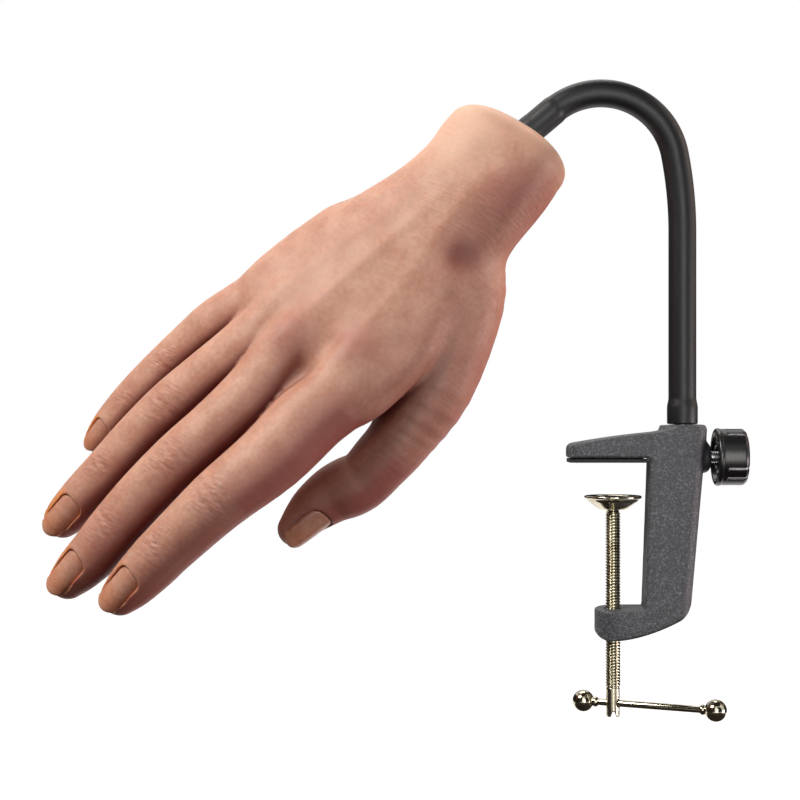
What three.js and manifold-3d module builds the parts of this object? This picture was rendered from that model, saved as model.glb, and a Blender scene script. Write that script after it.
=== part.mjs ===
// Nail practice hand: a silicone hand on a flexible neck, held to a table edge by a screw clamp.
// Millimetres. +X to the right of the clamp, +Z up, the viewer stands on the -Y side.
// The origin is where the clamp screw's axis meets the underside of the upper jaw's pad.
import * as THREE from "three";
import { mergeVertices } from "three/addons/utils/BufferGeometryUtils.js";
import Module from "manifold-3d";

const wasm = await Module();
wasm.setup();

// Fits
const SEAT_GAP = 0.3;
const RUN_GAP = 0.3;

// Clamp casting
const CAST_DEPTH = 17;
const CAST_EDGE = 0.9;
const CAST_BACK_ROUND = 5;
const CAST_JAW_ROUND = 3;
const THROAT_HEIGHT = 50;
const THROAT_CORNER = 1.5;
const SPINE_DEPTH_TOP = 19.7;
const SPINE_DEPTH_FOOT = 16.1;
const SPINE_LEAN = 1.9;
const UPPER_JAW_REACH = 15.5;
const UPPER_JAW_TIP_HEIGHT = 4.6;
const UPPER_JAW_ROOT_HEIGHT = 9.6;
const LOWER_JAW_HEIGHT = 10;
const LOWER_JAW_REACH = 6.2;
const LOWER_JAW_CORNER = 5;
const SOCKET_TOP = 12.6;
const SOCKET_RIM = 0.6;
const SOCKET_BOSS_RADIUS = 7.8;
const SOCKET_BOSS_HEIGHT = 8;
const SOCKET_DEPTH = 16;

// Jaw pad
const JAW_PAD_HEIGHT = 1.2;
const JAW_PAD_LENGTH = 26;
const JAW_PAD_WIDTH = 15;
const JAW_PAD_INSET = 0.2;
const JAW_PAD_END_GAP = 0.9;
const JAW_PAD_ROUND = 2.5;
const SPINE_INNER_TOP = JAW_PAD_INSET - UPPER_JAW_REACH + JAW_PAD_LENGTH + JAW_PAD_END_GAP;
const SPINE_INNER_FOOT = SPINE_INNER_TOP - SPINE_LEAN;
const SPINE_OUTER_TOP = SPINE_INNER_TOP + SPINE_DEPTH_TOP;
const SPINE_OUTER_FOOT = SPINE_INNER_FOOT + SPINE_DEPTH_FOOT;
const NECK_AXIS_X = SPINE_OUTER_TOP - SOCKET_BOSS_RADIUS + 0.1;

// Clamp screw, swivel pad and tommy bar
const SCREW_RADIUS = 2.5;
const SCREW_LENGTH = 70;
const SCREW_HEAD_RADIUS = 2.3;
const SCREW_HEAD_LENGTH = 10;
const SCREW_TIP_RADIUS = 1.6;
const SCREW_RIVET_RADIUS = 3;
const SCREW_RIVET_HEIGHT = 0.9;
const PAD_TOP_Z = -11.4;
const PAD_RADIUS = 9.7;
const PAD_HEIGHT = 4.8;
const PAD_RIM = 0.9;
const PAD_HUB_RADIUS = 4.2;
const PAD_RECESS_RADIUS = 5;
const PAD_RECESS_DEPTH = 2;
const BAR_RADIUS = 1.15;
const BAR_LENGTH = 46;
const BAR_OFFSET = 12.5;
const BAR_YAW = THREE.MathUtils.degToRad(-25);
const BAR_ABOVE_HEAD_END = 4.6;
const BALL_RADIUS = 3.7;
const BALL_BORE_DEPTH = 3.6;

// Locking screw and knob
const LOCK_Z = 1.7;
const LOCK_BOSS_RADIUS = 5.4;
const LOCK_BOSS_END_X = SPINE_OUTER_TOP + 1.7;
const LOCK_SCREW_RADIUS = 2;
const KNOB_START_X = LOCK_BOSS_END_X + 1.6;
const KNOB_RADIUS = 9.8;
const KNOB_LENGTH = 11.4;
const KNOB_SHANK_DEPTH = 7;
const KNOB_GROOVE_DEPTH = 0.7;
const KNOB_GROOVE_WIDTH = 1.5;
const KNOB_GROOVE_START = 2.9;
const KNOB_GROOVE_ANGLES = [57, 81, 174, 198, 312, 336];

// Flexible neck: straight, slow arc, tight arc, straight
const NECK_RADIUS = 4.7;
const NECK_STRAIGHT = 65.1;
const NECK_SLOW_ARC_RADIUS = 140;
const NECK_SLOW_ARC_TURN = THREE.MathUtils.degToRad(11);
const NECK_TIGHT_ARC_RADIUS = 25.5;
const NECK_TIGHT_ARC_TURN = THREE.MathUtils.degToRad(119);
const NECK_END_STRAIGHT = 20.5;
const NECK_SIDES = 16;
const NECK_SECTIONS = 7;
const FOOT_SLEEVE_RADIUS = 5.2;
const FOOT_SLEEVE_LENGTH = 9;
const TOP_SLEEVE_RADIUS = 5.1;
const TOP_SLEEVE_LENGTH = 12;
const NECK_PIN_RADIUS = 2.8;
const NECK_PIN_SEAT = 5;
const STUD_RADIUS = 3;
const STUD_LENGTH = 20;
const STUD_SEAT = 5;

// Hand
const HAND_ROLL = THREE.MathUtils.degToRad(25);
const WRIST_SKEW = -0.34;
const PLUG_RADIUS = 11;
const PLUG_LENGTH = 26;
const PLUG_RECESS = 4.5;
const PLUG_GROOVE = 1.2;
const PLUG_BORE_DEPTH = 22;
const MOUTH_GAP = 0.4;
const NAIL_THICKNESS = 0.9;
const NAIL_PROUD = 0.2;
const NAIL_SETBACK = 0.9;
const NAIL_WRAP = 0.35;
const NAIL_SIDES = 8;

// Materials
const paint = new THREE.MeshStandardMaterial({ color: 0x2a2b2e, roughness: 0.55, metalness: 0.2 });
const rubber = new THREE.MeshStandardMaterial({ color: 0x17181a, roughness: 0.6, metalness: 0 });
const nickel = new THREE.MeshStandardMaterial({ color: 0xb9b49c, roughness: 0.22, metalness: 1 });
const steel = new THREE.MeshStandardMaterial({ color: 0xa9abad, roughness: 0.3, metalness: 1 });
const plastic = new THREE.MeshStandardMaterial({ color: 0x1b1c1e, roughness: 0.35, metalness: 0 });
const silicone = new THREE.MeshStandardMaterial({ color: 0xc98f78, roughness: 0.5, metalness: 0 });
const nailAcrylic = new THREE.MeshStandardMaterial({ color: 0xcf9a80, roughness: 0.3, metalness: 0 });
const insertPlastic = new THREE.MeshStandardMaterial({ color: 0xe6e2d8, roughness: 0.5, metalness: 0 });

// A closed geometry as a solid, and back again.
function solid(geometry) {
  const bare = geometry.clone();
  bare.deleteAttribute("normal");
  bare.deleteAttribute("uv");
  const merged = mergeVertices(bare, 1e-4);
  const triVerts = new Uint32Array(merged.index.array);
  const vertProperties = merged.attributes.position.array;
  return new wasm.Manifold(new wasm.Mesh({ numProp: 3, vertProperties, triVerts }));
}

function geometryOf(body) {
  const mesh = body.getMesh();
  const geometry = new THREE.BufferGeometry();
  const positions = new Float32Array(mesh.numVert * 3);
  for (let i = 0; i < mesh.numVert; i++) {
    const start = i * mesh.numProp;
    positions.set(mesh.vertProperties.subarray(start, start + 3), i * 3);
  }
  geometry.setAttribute("position", new THREE.BufferAttribute(positions, 3));
  geometry.setIndex(new THREE.BufferAttribute(new Uint32Array(mesh.triVerts), 1));
  geometry.computeVertexNormals();
  return geometry;
}

const join = (...bodies) => bodies.reduce((all, next) => all.add(next));
const cut = (body, ...tools) => tools.reduce((left, tool) => left.subtract(tool), body);

// A geometry moved so that its own +Z runs along a direction from a point.
function along(geometry, point, direction) {
  const turn = new THREE.Quaternion().setFromUnitVectors(
    new THREE.Vector3(0, 0, 1),
    direction.clone().normalize(),
  );
  return geometry.applyQuaternion(turn).translate(point.x, point.y, point.z);
}

// A round bar with its foot at a point.
function rod(radius, length, point, direction, sides = 24) {
  const geometry = new THREE.CylinderGeometry(radius, radius, length, sides);
  geometry.rotateX(Math.PI / 2).translate(0, 0, length / 2);
  return solid(along(geometry, point, direction));
}

function ball(radius, point, sides = 16) {
  const geometry = new THREE.SphereGeometry(radius, sides, sides / 2);
  geometry.rotateX(Math.PI / 2);
  return solid(geometry.translate(point.x, point.y, point.z));
}

// A turned piece from [radius, height] pairs, about its own +Z.
function turned(profile, sides = 32) {
  const points = profile.map(([radius, height]) => new THREE.Vector2(radius, height));
  return new THREE.LatheGeometry(points, sides).rotateX(Math.PI / 2);
}

// A body through closed rings of points, all of one count, with flat or pointed ends.
function lofted(rings) {
  const count = rings[0].length;
  const positions = [];
  const index = [];
  const centre = (ring) =>
    ring.reduce((sum, p) => sum.add(p), new THREE.Vector3()).divideScalar(count);
  for (const ring of rings) for (const p of ring) positions.push(p.x, p.y, p.z);
  for (let r = 0; r + 1 < rings.length; r++) {
    for (let i = 0; i < count; i++) {
      const a = r * count + i;
      const b = r * count + ((i + 1) % count);
      index.push(a, b, b + count, a, b + count, a + count);
    }
  }
  const foot = positions.length / 3;
  const start = centre(rings[0]);
  const end = centre(rings[rings.length - 1]);
  positions.push(start.x, start.y, start.z, end.x, end.y, end.z);
  const last = (rings.length - 1) * count;
  for (let i = 0; i < count; i++) {
    const j = (i + 1) % count;
    index.push(foot, j, i, foot + 1, last + i, last + j);
  }
  const geometry = new THREE.BufferGeometry();
  geometry.setAttribute("position", new THREE.Float32BufferAttribute(positions, 3));
  geometry.setIndex(index);
  return geometry;
}

const group = new THREE.Group();

function place(name, geometry, material, parent = group) {
  const mesh = new THREE.Mesh(geometry, material);
  mesh.name = name;
  parent.add(mesh);
  return mesh;
}

const UP = new THREE.Vector3(0, 0, 1);
const RIGHT = new THREE.Vector3(1, 0, 0);

// Clamp casting: side outline cut by a plan outline, with its bosses and bores.
function clampFrame() {
  const jawFace = JAW_PAD_HEIGHT + SEAT_GAP;
  const throat = -THROAT_HEIGHT;
  const foot = throat - LOWER_JAW_HEIGHT;
  const corner = THROAT_CORNER;
  const rim = SOCKET_TOP - SOCKET_RIM;
  const side = new THREE.Shape();
  side.moveTo(-UPPER_JAW_REACH, jawFace);
  side.lineTo(SPINE_INNER_TOP - corner, jawFace);
  side.quadraticCurveTo(SPINE_INNER_TOP, jawFace, SPINE_INNER_TOP, jawFace - corner);
  side.lineTo(SPINE_INNER_FOOT, throat + corner);
  side.quadraticCurveTo(SPINE_INNER_FOOT, throat, SPINE_INNER_FOOT - corner, throat);
  side.lineTo(-LOWER_JAW_REACH + corner, throat);
  side.quadraticCurveTo(-LOWER_JAW_REACH, throat, -LOWER_JAW_REACH, throat - corner);
  side.lineTo(-LOWER_JAW_REACH, foot + 0.8 * LOWER_JAW_CORNER);
  side.quadraticCurveTo(-LOWER_JAW_REACH, foot, -LOWER_JAW_REACH + LOWER_JAW_CORNER, foot);
  side.bezierCurveTo(
    0.23 * SPINE_OUTER_FOOT, foot,
    0.58 * SPINE_OUTER_FOOT, foot + 0.3 * LOWER_JAW_HEIGHT,
    0.86 * SPINE_OUTER_FOOT, throat - 0.3 * LOWER_JAW_HEIGHT,
  );
  side.quadraticCurveTo(
    SPINE_OUTER_FOOT, throat,
    SPINE_OUTER_FOOT + 0.4, throat + 0.4 * LOWER_JAW_HEIGHT,
  );
  side.lineTo(SPINE_OUTER_TOP, rim - corner);
  side.quadraticCurveTo(SPINE_OUTER_TOP, rim, SPINE_OUTER_TOP - corner, rim);
  side.lineTo(NECK_AXIS_X - SOCKET_BOSS_RADIUS / 2, rim);
  const root = jawFace + UPPER_JAW_ROOT_HEIGHT;
  const tip = jawFace + UPPER_JAW_TIP_HEIGHT;
  side.quadraticCurveTo(NECK_AXIS_X - 9, root, SPINE_INNER_TOP - 4, root - 0.6);
  side.quadraticCurveTo(
    -UPPER_JAW_REACH / 4, root - 2.2,
    -UPPER_JAW_REACH + UPPER_JAW_TIP_HEIGHT / 2, tip + 0.4,
  );
  side.quadraticCurveTo(
    -UPPER_JAW_REACH, tip,
    -UPPER_JAW_REACH, tip - UPPER_JAW_TIP_HEIGHT / 2,
  );
  const slab = new THREE.ExtrudeGeometry(side, {
    depth: CAST_DEPTH - 2 * CAST_EDGE,
    bevelEnabled: true,
    bevelThickness: CAST_EDGE,
    bevelSize: CAST_EDGE,
    bevelOffset: -CAST_EDGE,
    bevelSegments: 2,
    curveSegments: 8,
  });
  slab.translate(0, 0, -CAST_DEPTH / 2 + CAST_EDGE).rotateX(Math.PI / 2);

  const plan = (left, leftRound) => {
    const half = CAST_DEPTH / 2;
    const shape = new THREE.Shape();
    const right = SPINE_OUTER_TOP + 0.5;
    shape.moveTo(left + leftRound, -half);
    shape.lineTo(right - CAST_BACK_ROUND, -half);
    shape.absarc(right - CAST_BACK_ROUND, -half + CAST_BACK_ROUND, CAST_BACK_ROUND, -Math.PI / 2, 0);
    shape.absarc(right - CAST_BACK_ROUND, half - CAST_BACK_ROUND, CAST_BACK_ROUND, 0, Math.PI / 2);
    shape.lineTo(left + leftRound, half);
    shape.absarc(left + leftRound, half - leftRound, leftRound, Math.PI / 2, Math.PI);
    shape.absarc(left + leftRound, -half + leftRound, leftRound, Math.PI, Math.PI * 1.5);
    shape.closePath();
    return shape;
  };
  const split = -THROAT_HEIGHT + 4 * THROAT_CORNER;
  const planSolid = (shape, low, high) => {
    const geometry = new THREE.ExtrudeGeometry(shape, {
      depth: high - low,
      bevelEnabled: false,
      curveSegments: 6,
    });
    return solid(geometry.translate(0, 0, low));
  };
  const upper = planSolid(plan(-UPPER_JAW_REACH - 0.1, CAST_JAW_ROUND), split, SOCKET_TOP + 5);
  const lower = planSolid(plan(-LOWER_JAW_REACH - 0.1, CAST_DEPTH / 2 - 0.6), foot - 5, split + 0.01);
  const block = solid(slab).intersect(join(upper, lower));

  const socketAt = new THREE.Vector3(NECK_AXIS_X, 0, SOCKET_TOP - SOCKET_BOSS_HEIGHT);
  const boss = rod(SOCKET_BOSS_RADIUS, SOCKET_BOSS_HEIGHT, socketAt, UP, 28);
  const bossEnd = new THREE.Vector3(NECK_AXIS_X + NECK_PIN_RADIUS, 0, LOCK_Z);
  const lockBoss = rod(LOCK_BOSS_RADIUS, LOCK_BOSS_END_X - bossEnd.x, bossEnd, RIGHT, 24);
  const socket = rod(
    NECK_PIN_RADIUS + RUN_GAP,
    SOCKET_DEPTH + 5,
    new THREE.Vector3(NECK_AXIS_X, 0, SOCKET_TOP - SOCKET_DEPTH),
    UP,
  );
  const lockBore = rod(
    LOCK_SCREW_RADIUS + RUN_GAP,
    LOCK_BOSS_END_X - NECK_AXIS_X + 1,
    new THREE.Vector3(NECK_AXIS_X, 0, LOCK_Z),
    RIGHT,
  );
  const screwBore = rod(
    SCREW_RADIUS + RUN_GAP,
    LOWER_JAW_HEIGHT + 10,
    new THREE.Vector3(0, 0, foot - 5),
    UP,
  );
  return cut(join(block, boss, lockBoss), socket, lockBore, screwBore);
}

function jawPad() {
  const round = JAW_PAD_ROUND;
  const left = -UPPER_JAW_REACH + JAW_PAD_INSET;
  const right = left + JAW_PAD_LENGTH;
  const half = JAW_PAD_WIDTH / 2;
  const shape = new THREE.Shape();
  shape.moveTo(left + round, -half);
  shape.lineTo(right, -half);
  shape.lineTo(right, half);
  shape.lineTo(left + round, half);
  shape.absarc(left + round, half - round, round, Math.PI / 2, Math.PI);
  shape.absarc(left + round, -half + round, round, Math.PI, Math.PI * 1.5);
  shape.closePath();
  return new THREE.ExtrudeGeometry(shape, {
    depth: JAW_PAD_HEIGHT,
    bevelEnabled: false,
    curveSegments: 5,
  });
}

// Clamp screw, turned about the origin's axis; its riveted tip holds the swivel pad.
const padFoot = PAD_TOP_Z - PAD_HEIGHT;
const screwTop = padFoot - SEAT_GAP;
const padFloor = PAD_TOP_Z - PAD_RECESS_DEPTH;
const screwEnd = screwTop - SCREW_LENGTH;
const barZ = screwEnd + BAR_ABOVE_HEAD_END;
const barDirection = new THREE.Vector3(Math.cos(BAR_YAW), Math.sin(BAR_YAW), 0);

function clampScrew() {
  const rivetFoot = padFloor + SEAT_GAP;
  const body = turned(
    [
      [0, screwEnd],
      [SCREW_HEAD_RADIUS - 0.4, screwEnd],
      [SCREW_HEAD_RADIUS, screwEnd + 0.4],
      [SCREW_HEAD_RADIUS, screwEnd + SCREW_HEAD_LENGTH - 0.4],
      [SCREW_RADIUS, screwEnd + SCREW_HEAD_LENGTH + 0.2],
      [SCREW_RADIUS, screwTop],
      [SCREW_TIP_RADIUS, screwTop],
      [SCREW_TIP_RADIUS, rivetFoot],
      [SCREW_RIVET_RADIUS, rivetFoot],
      [SCREW_RIVET_RADIUS - 0.5, rivetFoot + SCREW_RIVET_HEIGHT],
      [0, rivetFoot + SCREW_RIVET_HEIGHT],
    ],
    24,
  );
  const holeStart = barDirection.clone().multiplyScalar(-2 * SCREW_HEAD_RADIUS);
  holeStart.z = barZ;
  const holeLength = 4 * SCREW_HEAD_RADIUS;
  const hole = rod(BAR_RADIUS + RUN_GAP, holeLength, holeStart, barDirection, 14);
  return cut(solid(body), hole);
}

function swivelPad() {
  return turned(
    [
      [SCREW_TIP_RADIUS + RUN_GAP, padFoot],
      [PAD_HUB_RADIUS, padFoot],
      [PAD_HUB_RADIUS + 1.6, padFoot + 1.1],
      [PAD_RADIUS - 2.2, PAD_TOP_Z - PAD_RIM - 1],
      [PAD_RADIUS, PAD_TOP_Z - PAD_RIM],
      [PAD_RADIUS, PAD_TOP_Z - 0.2],
      [PAD_RADIUS - 0.3, PAD_TOP_Z],
      [PAD_RECESS_RADIUS, PAD_TOP_Z],
      [PAD_RECESS_RADIUS - 0.5, padFloor],
      [SCREW_TIP_RADIUS + RUN_GAP, padFloor],
      [SCREW_TIP_RADIUS + RUN_GAP, padFoot],
    ],
    32,
  );
}

// Tommy bar and its two pressed-on balls, laid out along the bar's own axis.
const barStart = -BAR_LENGTH / 2 + BAR_OFFSET;

function barBall() {
  const steps = 9;
  const bore = BAR_RADIUS + SEAT_GAP;
  const floor = -BALL_RADIUS + BALL_BORE_DEPTH + SEAT_GAP;
  const mouth = Math.acos(bore / BALL_RADIUS);
  const profile = [[0, floor], [bore, floor]];
  for (let i = 0; i <= steps; i++) {
    const angle = -mouth + (i / steps) * (mouth + Math.PI / 2);
    profile.push([BALL_RADIUS * Math.cos(angle), BALL_RADIUS * Math.sin(angle)]);
  }
  profile[profile.length - 1][0] = 0;
  return turned(profile, 18);
}

// Locking knob: a grooved moulding on the locking screw's end.
function lockKnob() {
  const grooves = [];
  const start = new THREE.Vector3(KNOB_START_X, 0, LOCK_Z);
  const body = turned(
    [
      [0, 0],
      [KNOB_RADIUS - 1.6, 0],
      [KNOB_RADIUS - 1.2, 0.6],
      [KNOB_RADIUS, 1.2],
      [KNOB_RADIUS, KNOB_LENGTH - 1.2],
      [KNOB_RADIUS - 1.2, KNOB_LENGTH],
      [0, KNOB_LENGTH],
    ],
    36,
  );
  for (const degrees of KNOB_GROOVE_ANGLES) {
    const angle = THREE.MathUtils.degToRad(90 - degrees);
    const depth = KNOB_GROOVE_DEPTH * 2;
    const groove = new THREE.BoxGeometry(depth, KNOB_GROOVE_WIDTH, KNOB_LENGTH);
    groove.translate(KNOB_RADIUS, 0, KNOB_LENGTH / 2 + KNOB_GROOVE_START).rotateZ(angle);
    grooves.push(solid(groove));
  }
  const grooved = cut(solid(body), ...grooves);
  const seat = rod(
    LOCK_SCREW_RADIUS + SEAT_GAP,
    KNOB_SHANK_DEPTH + 1,
    new THREE.Vector3(0, 0, -1),
    UP,
  );
  return along(geometryOf(cut(grooved, seat)), start, RIGHT);
}

place("clamp_frame", geometryOf(clampFrame()), paint);
place("jaw_pad", jawPad(), rubber);
place("clamp_screw", geometryOf(clampScrew()), nickel);
place("swivel_pad", swivelPad(), nickel);

const bar = new THREE.Group();
bar.position.set(0, 0, barZ);
bar.rotation.z = BAR_YAW;
group.add(bar);
const barAt = new THREE.Vector3(barStart, 0, 0);
place("tommy_bar", geometryOf(rod(BAR_RADIUS, BAR_LENGTH, barAt, RIGHT, 16)), nickel, bar);
const ballInset = BALL_RADIUS - BALL_BORE_DEPTH;
for (const [name, x, turn] of [
  ["tommy_ball_near", barStart - ballInset, -Math.PI / 2],
  ["tommy_ball_far", barStart + BAR_LENGTH + ballInset, Math.PI / 2],
]) {
  const mesh = place(name, barBall(), nickel, bar);
  mesh.position.x = x;
  mesh.rotation.y = turn;
}

const lockTip = NECK_AXIS_X + NECK_PIN_RADIUS + SEAT_GAP;
const lockLength = KNOB_START_X + KNOB_SHANK_DEPTH - SEAT_GAP - lockTip;
const lockAt = new THREE.Vector3(lockTip, 0, LOCK_Z);
place("lock_screw", geometryOf(rod(LOCK_SCREW_RADIUS, lockLength, lockAt, RIGHT)), steel);
place("lock_knob", lockKnob(), plastic);

// The neck's centreline by distance from the socket's top, in the XZ plane.
const neckStart = new THREE.Vector3(NECK_AXIS_X, 0, SOCKET_TOP + SEAT_GAP);
const slowLength = NECK_SLOW_ARC_RADIUS * NECK_SLOW_ARC_TURN;
const tightLength = NECK_TIGHT_ARC_RADIUS * NECK_TIGHT_ARC_TURN;
const neckLength = NECK_STRAIGHT + slowLength + tightLength + NECK_END_STRAIGHT;

function neckPoint(distance) {
  const at = neckStart.clone();
  let angle = Math.PI / 2;
  let left = distance;
  const go = (length, radius) => {
    const step = Math.min(left, length);
    left -= step;
    if (radius === Infinity) {
      at.x += step * Math.cos(angle);
      at.z += step * Math.sin(angle);
      return;
    }
    const turn = step / radius;
    at.x += radius * (Math.sin(angle + turn) - Math.sin(angle));
    at.z += radius * (Math.cos(angle) - Math.cos(angle + turn));
    angle += turn;
  };
  go(NECK_STRAIGHT, Infinity);
  go(slowLength, NECK_SLOW_ARC_RADIUS);
  go(tightLength, NECK_TIGHT_ARC_RADIUS);
  go(Infinity, Infinity);
  return { at, direction: new THREE.Vector3(Math.cos(angle), 0, Math.sin(angle)) };
}

// A stretch of the sleeved hose between two distances, as rings across its centreline.
function hose(from, to, radius, steps) {
  const rings = [];
  for (let i = 0; i <= steps; i++) {
    const { at, direction } = neckPoint(from + ((to - from) * i) / steps);
    const across = new THREE.Vector3(0, 1, 0);
    const out = direction.clone().cross(across);
    const ring = [];
    for (let k = 0; k < NECK_SIDES; k++) {
      const angle = -(k / NECK_SIDES) * Math.PI * 2;
      const p = at.clone().addScaledVector(out, radius * Math.cos(angle));
      ring.push(p.addScaledVector(across, radius * Math.sin(angle)));
    }
    rings.push(ring);
  }
  return solid(lofted(rings));
}

// Where the neck bends: the joints' centres, evenly spaced between the two sleeves.
const firstPivot = FOOT_SLEEVE_LENGTH + NECK_RADIUS;
const lastPivot = neckLength - TOP_SLEEVE_LENGTH - NECK_RADIUS;
const pivotAt = (k) => firstPivot + ((lastPivot - firstPivot) * k) / NECK_SECTIONS;
const cupRadius = NECK_RADIUS + RUN_GAP;

const footEnd = neckPoint(firstPivot);
const footSleeve = solid(
  turned([
    [0, neckStart.z],
    [FOOT_SLEEVE_RADIUS, neckStart.z],
    [FOOT_SLEEVE_RADIUS, neckStart.z + FOOT_SLEEVE_LENGTH - 2.5],
    [NECK_RADIUS, neckStart.z + FOOT_SLEEVE_LENGTH],
    [NECK_RADIUS, footEnd.at.z],
    [0, footEnd.at.z],
  ], NECK_SIDES).translate(NECK_AXIS_X, 0, 0),
);
const pinFoot = new THREE.Vector3(NECK_AXIS_X, 0, SOCKET_TOP - SOCKET_DEPTH + SEAT_GAP);
const pinLength = SOCKET_DEPTH + NECK_PIN_SEAT;
const pinBore = rod(
  NECK_PIN_RADIUS + SEAT_GAP,
  pinLength + SEAT_GAP,
  pinFoot,
  UP,
);
place("neck_pin", geometryOf(rod(NECK_PIN_RADIUS, pinLength, pinFoot, UP)), steel);
const footBody = cut(join(footSleeve, ball(NECK_RADIUS, footEnd.at)), pinBore);
place("neck_foot_sleeve", geometryOf(footBody), rubber);

for (let k = 0; k < NECK_SECTIONS; k++) {
  const low = neckPoint(pivotAt(k)).at;
  const high = neckPoint(pivotAt(k + 1)).at;
  const tube = hose(pivotAt(k), pivotAt(k + 1), NECK_RADIUS, 5);
  const section = cut(join(tube, ball(NECK_RADIUS, high)), ball(cupRadius, low));
  place("neck_section_" + (k + 1), geometryOf(section), rubber);
}

// Upper sleeve, whose cup seats on the last ball, and the stud that carries the hand.
const wrist = neckPoint(neckLength);
const topSleeveEnd = neckLength - 2.4;
const topSleeve = hose(lastPivot, topSleeveEnd, TOP_SLEEVE_RADIUS, 5);
const studFoot = neckPoint(topSleeveEnd - STUD_SEAT);
const studBore = rod(STUD_RADIUS + SEAT_GAP, STUD_LENGTH, studFoot.at, wrist.direction);
const studAt = neckPoint(topSleeveEnd - STUD_SEAT + SEAT_GAP).at;
const topBody = cut(topSleeve, ball(cupRadius, neckPoint(lastPivot).at), studBore);
place("neck_top_sleeve", geometryOf(topBody), rubber);
place("hand_stud", geometryOf(rod(STUD_RADIUS, STUD_LENGTH, studAt, wrist.direction)), steel);

// The hand's own frame: +X from the wrist to the fingers, +Y to the thumb, +Z out of the back.
const hand = new THREE.Group();
const fingersWay = wrist.direction.clone();
const toViewer = new THREE.Vector3(0, -1, 0);
const thumbFlat = toViewer.clone().cross(fingersWay);
const thumbWay = thumbFlat.clone().multiplyScalar(Math.cos(HAND_ROLL));
thumbWay.addScaledVector(toViewer, Math.sin(HAND_ROLL));
const backWay = fingersWay.clone().cross(thumbWay);
hand.quaternion.setFromRotationMatrix(
  new THREE.Matrix4().makeBasis(fingersWay, thumbWay, backWay),
);
hand.position.copy(wrist.at);
group.add(hand);

// Digits: centres [along, to the thumb, above] and the flesh's radius at each, from the palm
// to the tip. The nail's width, length and turn towards the thumb in degrees.
const DIGITS = {
  index: {
    joints: [[60, 16, -2, 11.5], [89, 24.5, 0, 12.5], [108, 30, 2, 12.5], [127, 33, 3, 11.7],
      [150, 33, 3.5, 10.3], [172, 32.5, 0, 9.2], [190, 32.5, -4, 7.9], [197, 32.5, -5.5, 6.3]],
    nail: { width: 9.6, length: 15, turn: -4 },
  },
  middle: {
    joints: [[60, 5, 0, 11.5], [98, 8, 2, 12], [119, 11, 3, 10.8], [136, 11.5, 2, 10.2],
      [152, 11.5, 1, 10.2], [185, 12, -4.5, 9.1], [202, 13, -8, 7.5], [209, 13, -9.5, 6]],
    nail: { width: 9.6, length: 14.5, turn: -12 },
  },
  ring: {
    joints: [[62, -7, -1, 11], [97, -5.5, 1, 10.6], [116, -6.5, 0, 9.8], [131, -8.5, -2.5, 9.4],
      [145, -9.5, -4, 9.3], [175, -9.5, -9.5, 8.5], [191, -9.5, -13, 7.5], [201, -10, -15, 5.8]],
    nail: { width: 9.2, length: 14, turn: 6 },
  },
  little: {
    joints: [[62, -17, -3, 10], [95, -19.5, -3.5, 9.6], [113, -22.5, -5, 9.2], [124, -24.5, -8, 8.6],
      [137, -25.5, -10.5, 7.8], [151, -25.5, -12.5, 7.3], [164, -25.5, -15.5, 6.8],
      [173, -26, -18, 5.3]],
    nail: { width: 7.4, length: 11, turn: -4 },
  },
  thumb: {
    joints: [[24, 12.5, -4, 12.5], [45.6, 26.5, -13, 14.3], [70, 40, -18, 13.2], [90, 46.5, -20, 11.4],
      [109, 49.5, -22, 10.1], [115, 48.5, -22, 10.4], [128, 47.2, -21.5, 8.3], [138, 47.8, -21.5, 5.8]],
    nail: { width: 9, length: 15, turn: 66 },
  },
};

// Palm sections: [along, little side, thumb side, half thickness, height of the middle].
const PALM = [
  [0, -22, 21.2, 17.5, -1],
  [8, -21, 22.6, 17.5, -1],
  [18, -19, 25.4, 17, -1.5],
  [32, -19.5, 28.4, 15.5, -2],
  [48, -23, 34, 14.5, -2.5],
  [66, -26, 40.5, 13.6, -2],
  [84, -28, 42.5, 12.6, -1.5],
  [95, -27.5, 40.5, 11.8, -1],
  [103, -25, 35, 9.5, -1],
];
const PALM_SIDES = 22;
const FINGER_SIDES = 13;
const FINGER_FLATNESS = 0.94;
const TIP_RINGS = [32, 66];
const TIP_LIFT = 0.75;

function palm() {
  const rings = PALM.map(([along, little, thumb, half, middle], row) => {
    const ring = [];
    const skew = WRIST_SKEW * Math.max(0, 1 - along / 30);
    for (let i = 0; i < PALM_SIDES; i++) {
      const angle = (i / PALM_SIDES) * Math.PI * 2;
      const round = (value) => Math.sign(value) * Math.abs(value) ** 0.8;
      const y = (little + thumb) / 2 + ((thumb - little) / 2) * round(Math.cos(angle));
      const z = middle + half * round(Math.sin(angle));
      ring.push(new THREE.Vector3(along + skew * y, y, z));
    }
    return ring;
  });
  const cap = (ring, share, push) => {
    const centre = ring.reduce((sum, p) => sum.add(p), new THREE.Vector3()).divideScalar(ring.length);
    return ring.map((p) => {
      const q = p.clone().lerp(centre, share);
      q.x += push;
      return q;
    });
  };
  const first = rings[0];
  const last = rings[rings.length - 1];
  const all = [cap(first, 0.5, -8), cap(first, 0.25, -6.8), cap(first, 0.08, -4.4), ...rings];
  all.push(cap(last, 0.15, 2), cap(last, 0.5, 3.5));
  return solid(lofted(all));
}

// A digit's own directions at a point of its line.
function digitAxes(forward) {
  const side = new THREE.Vector3(0, 0, 1).cross(forward).normalize();
  return { side, up: forward.clone().cross(side) };
}

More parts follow.
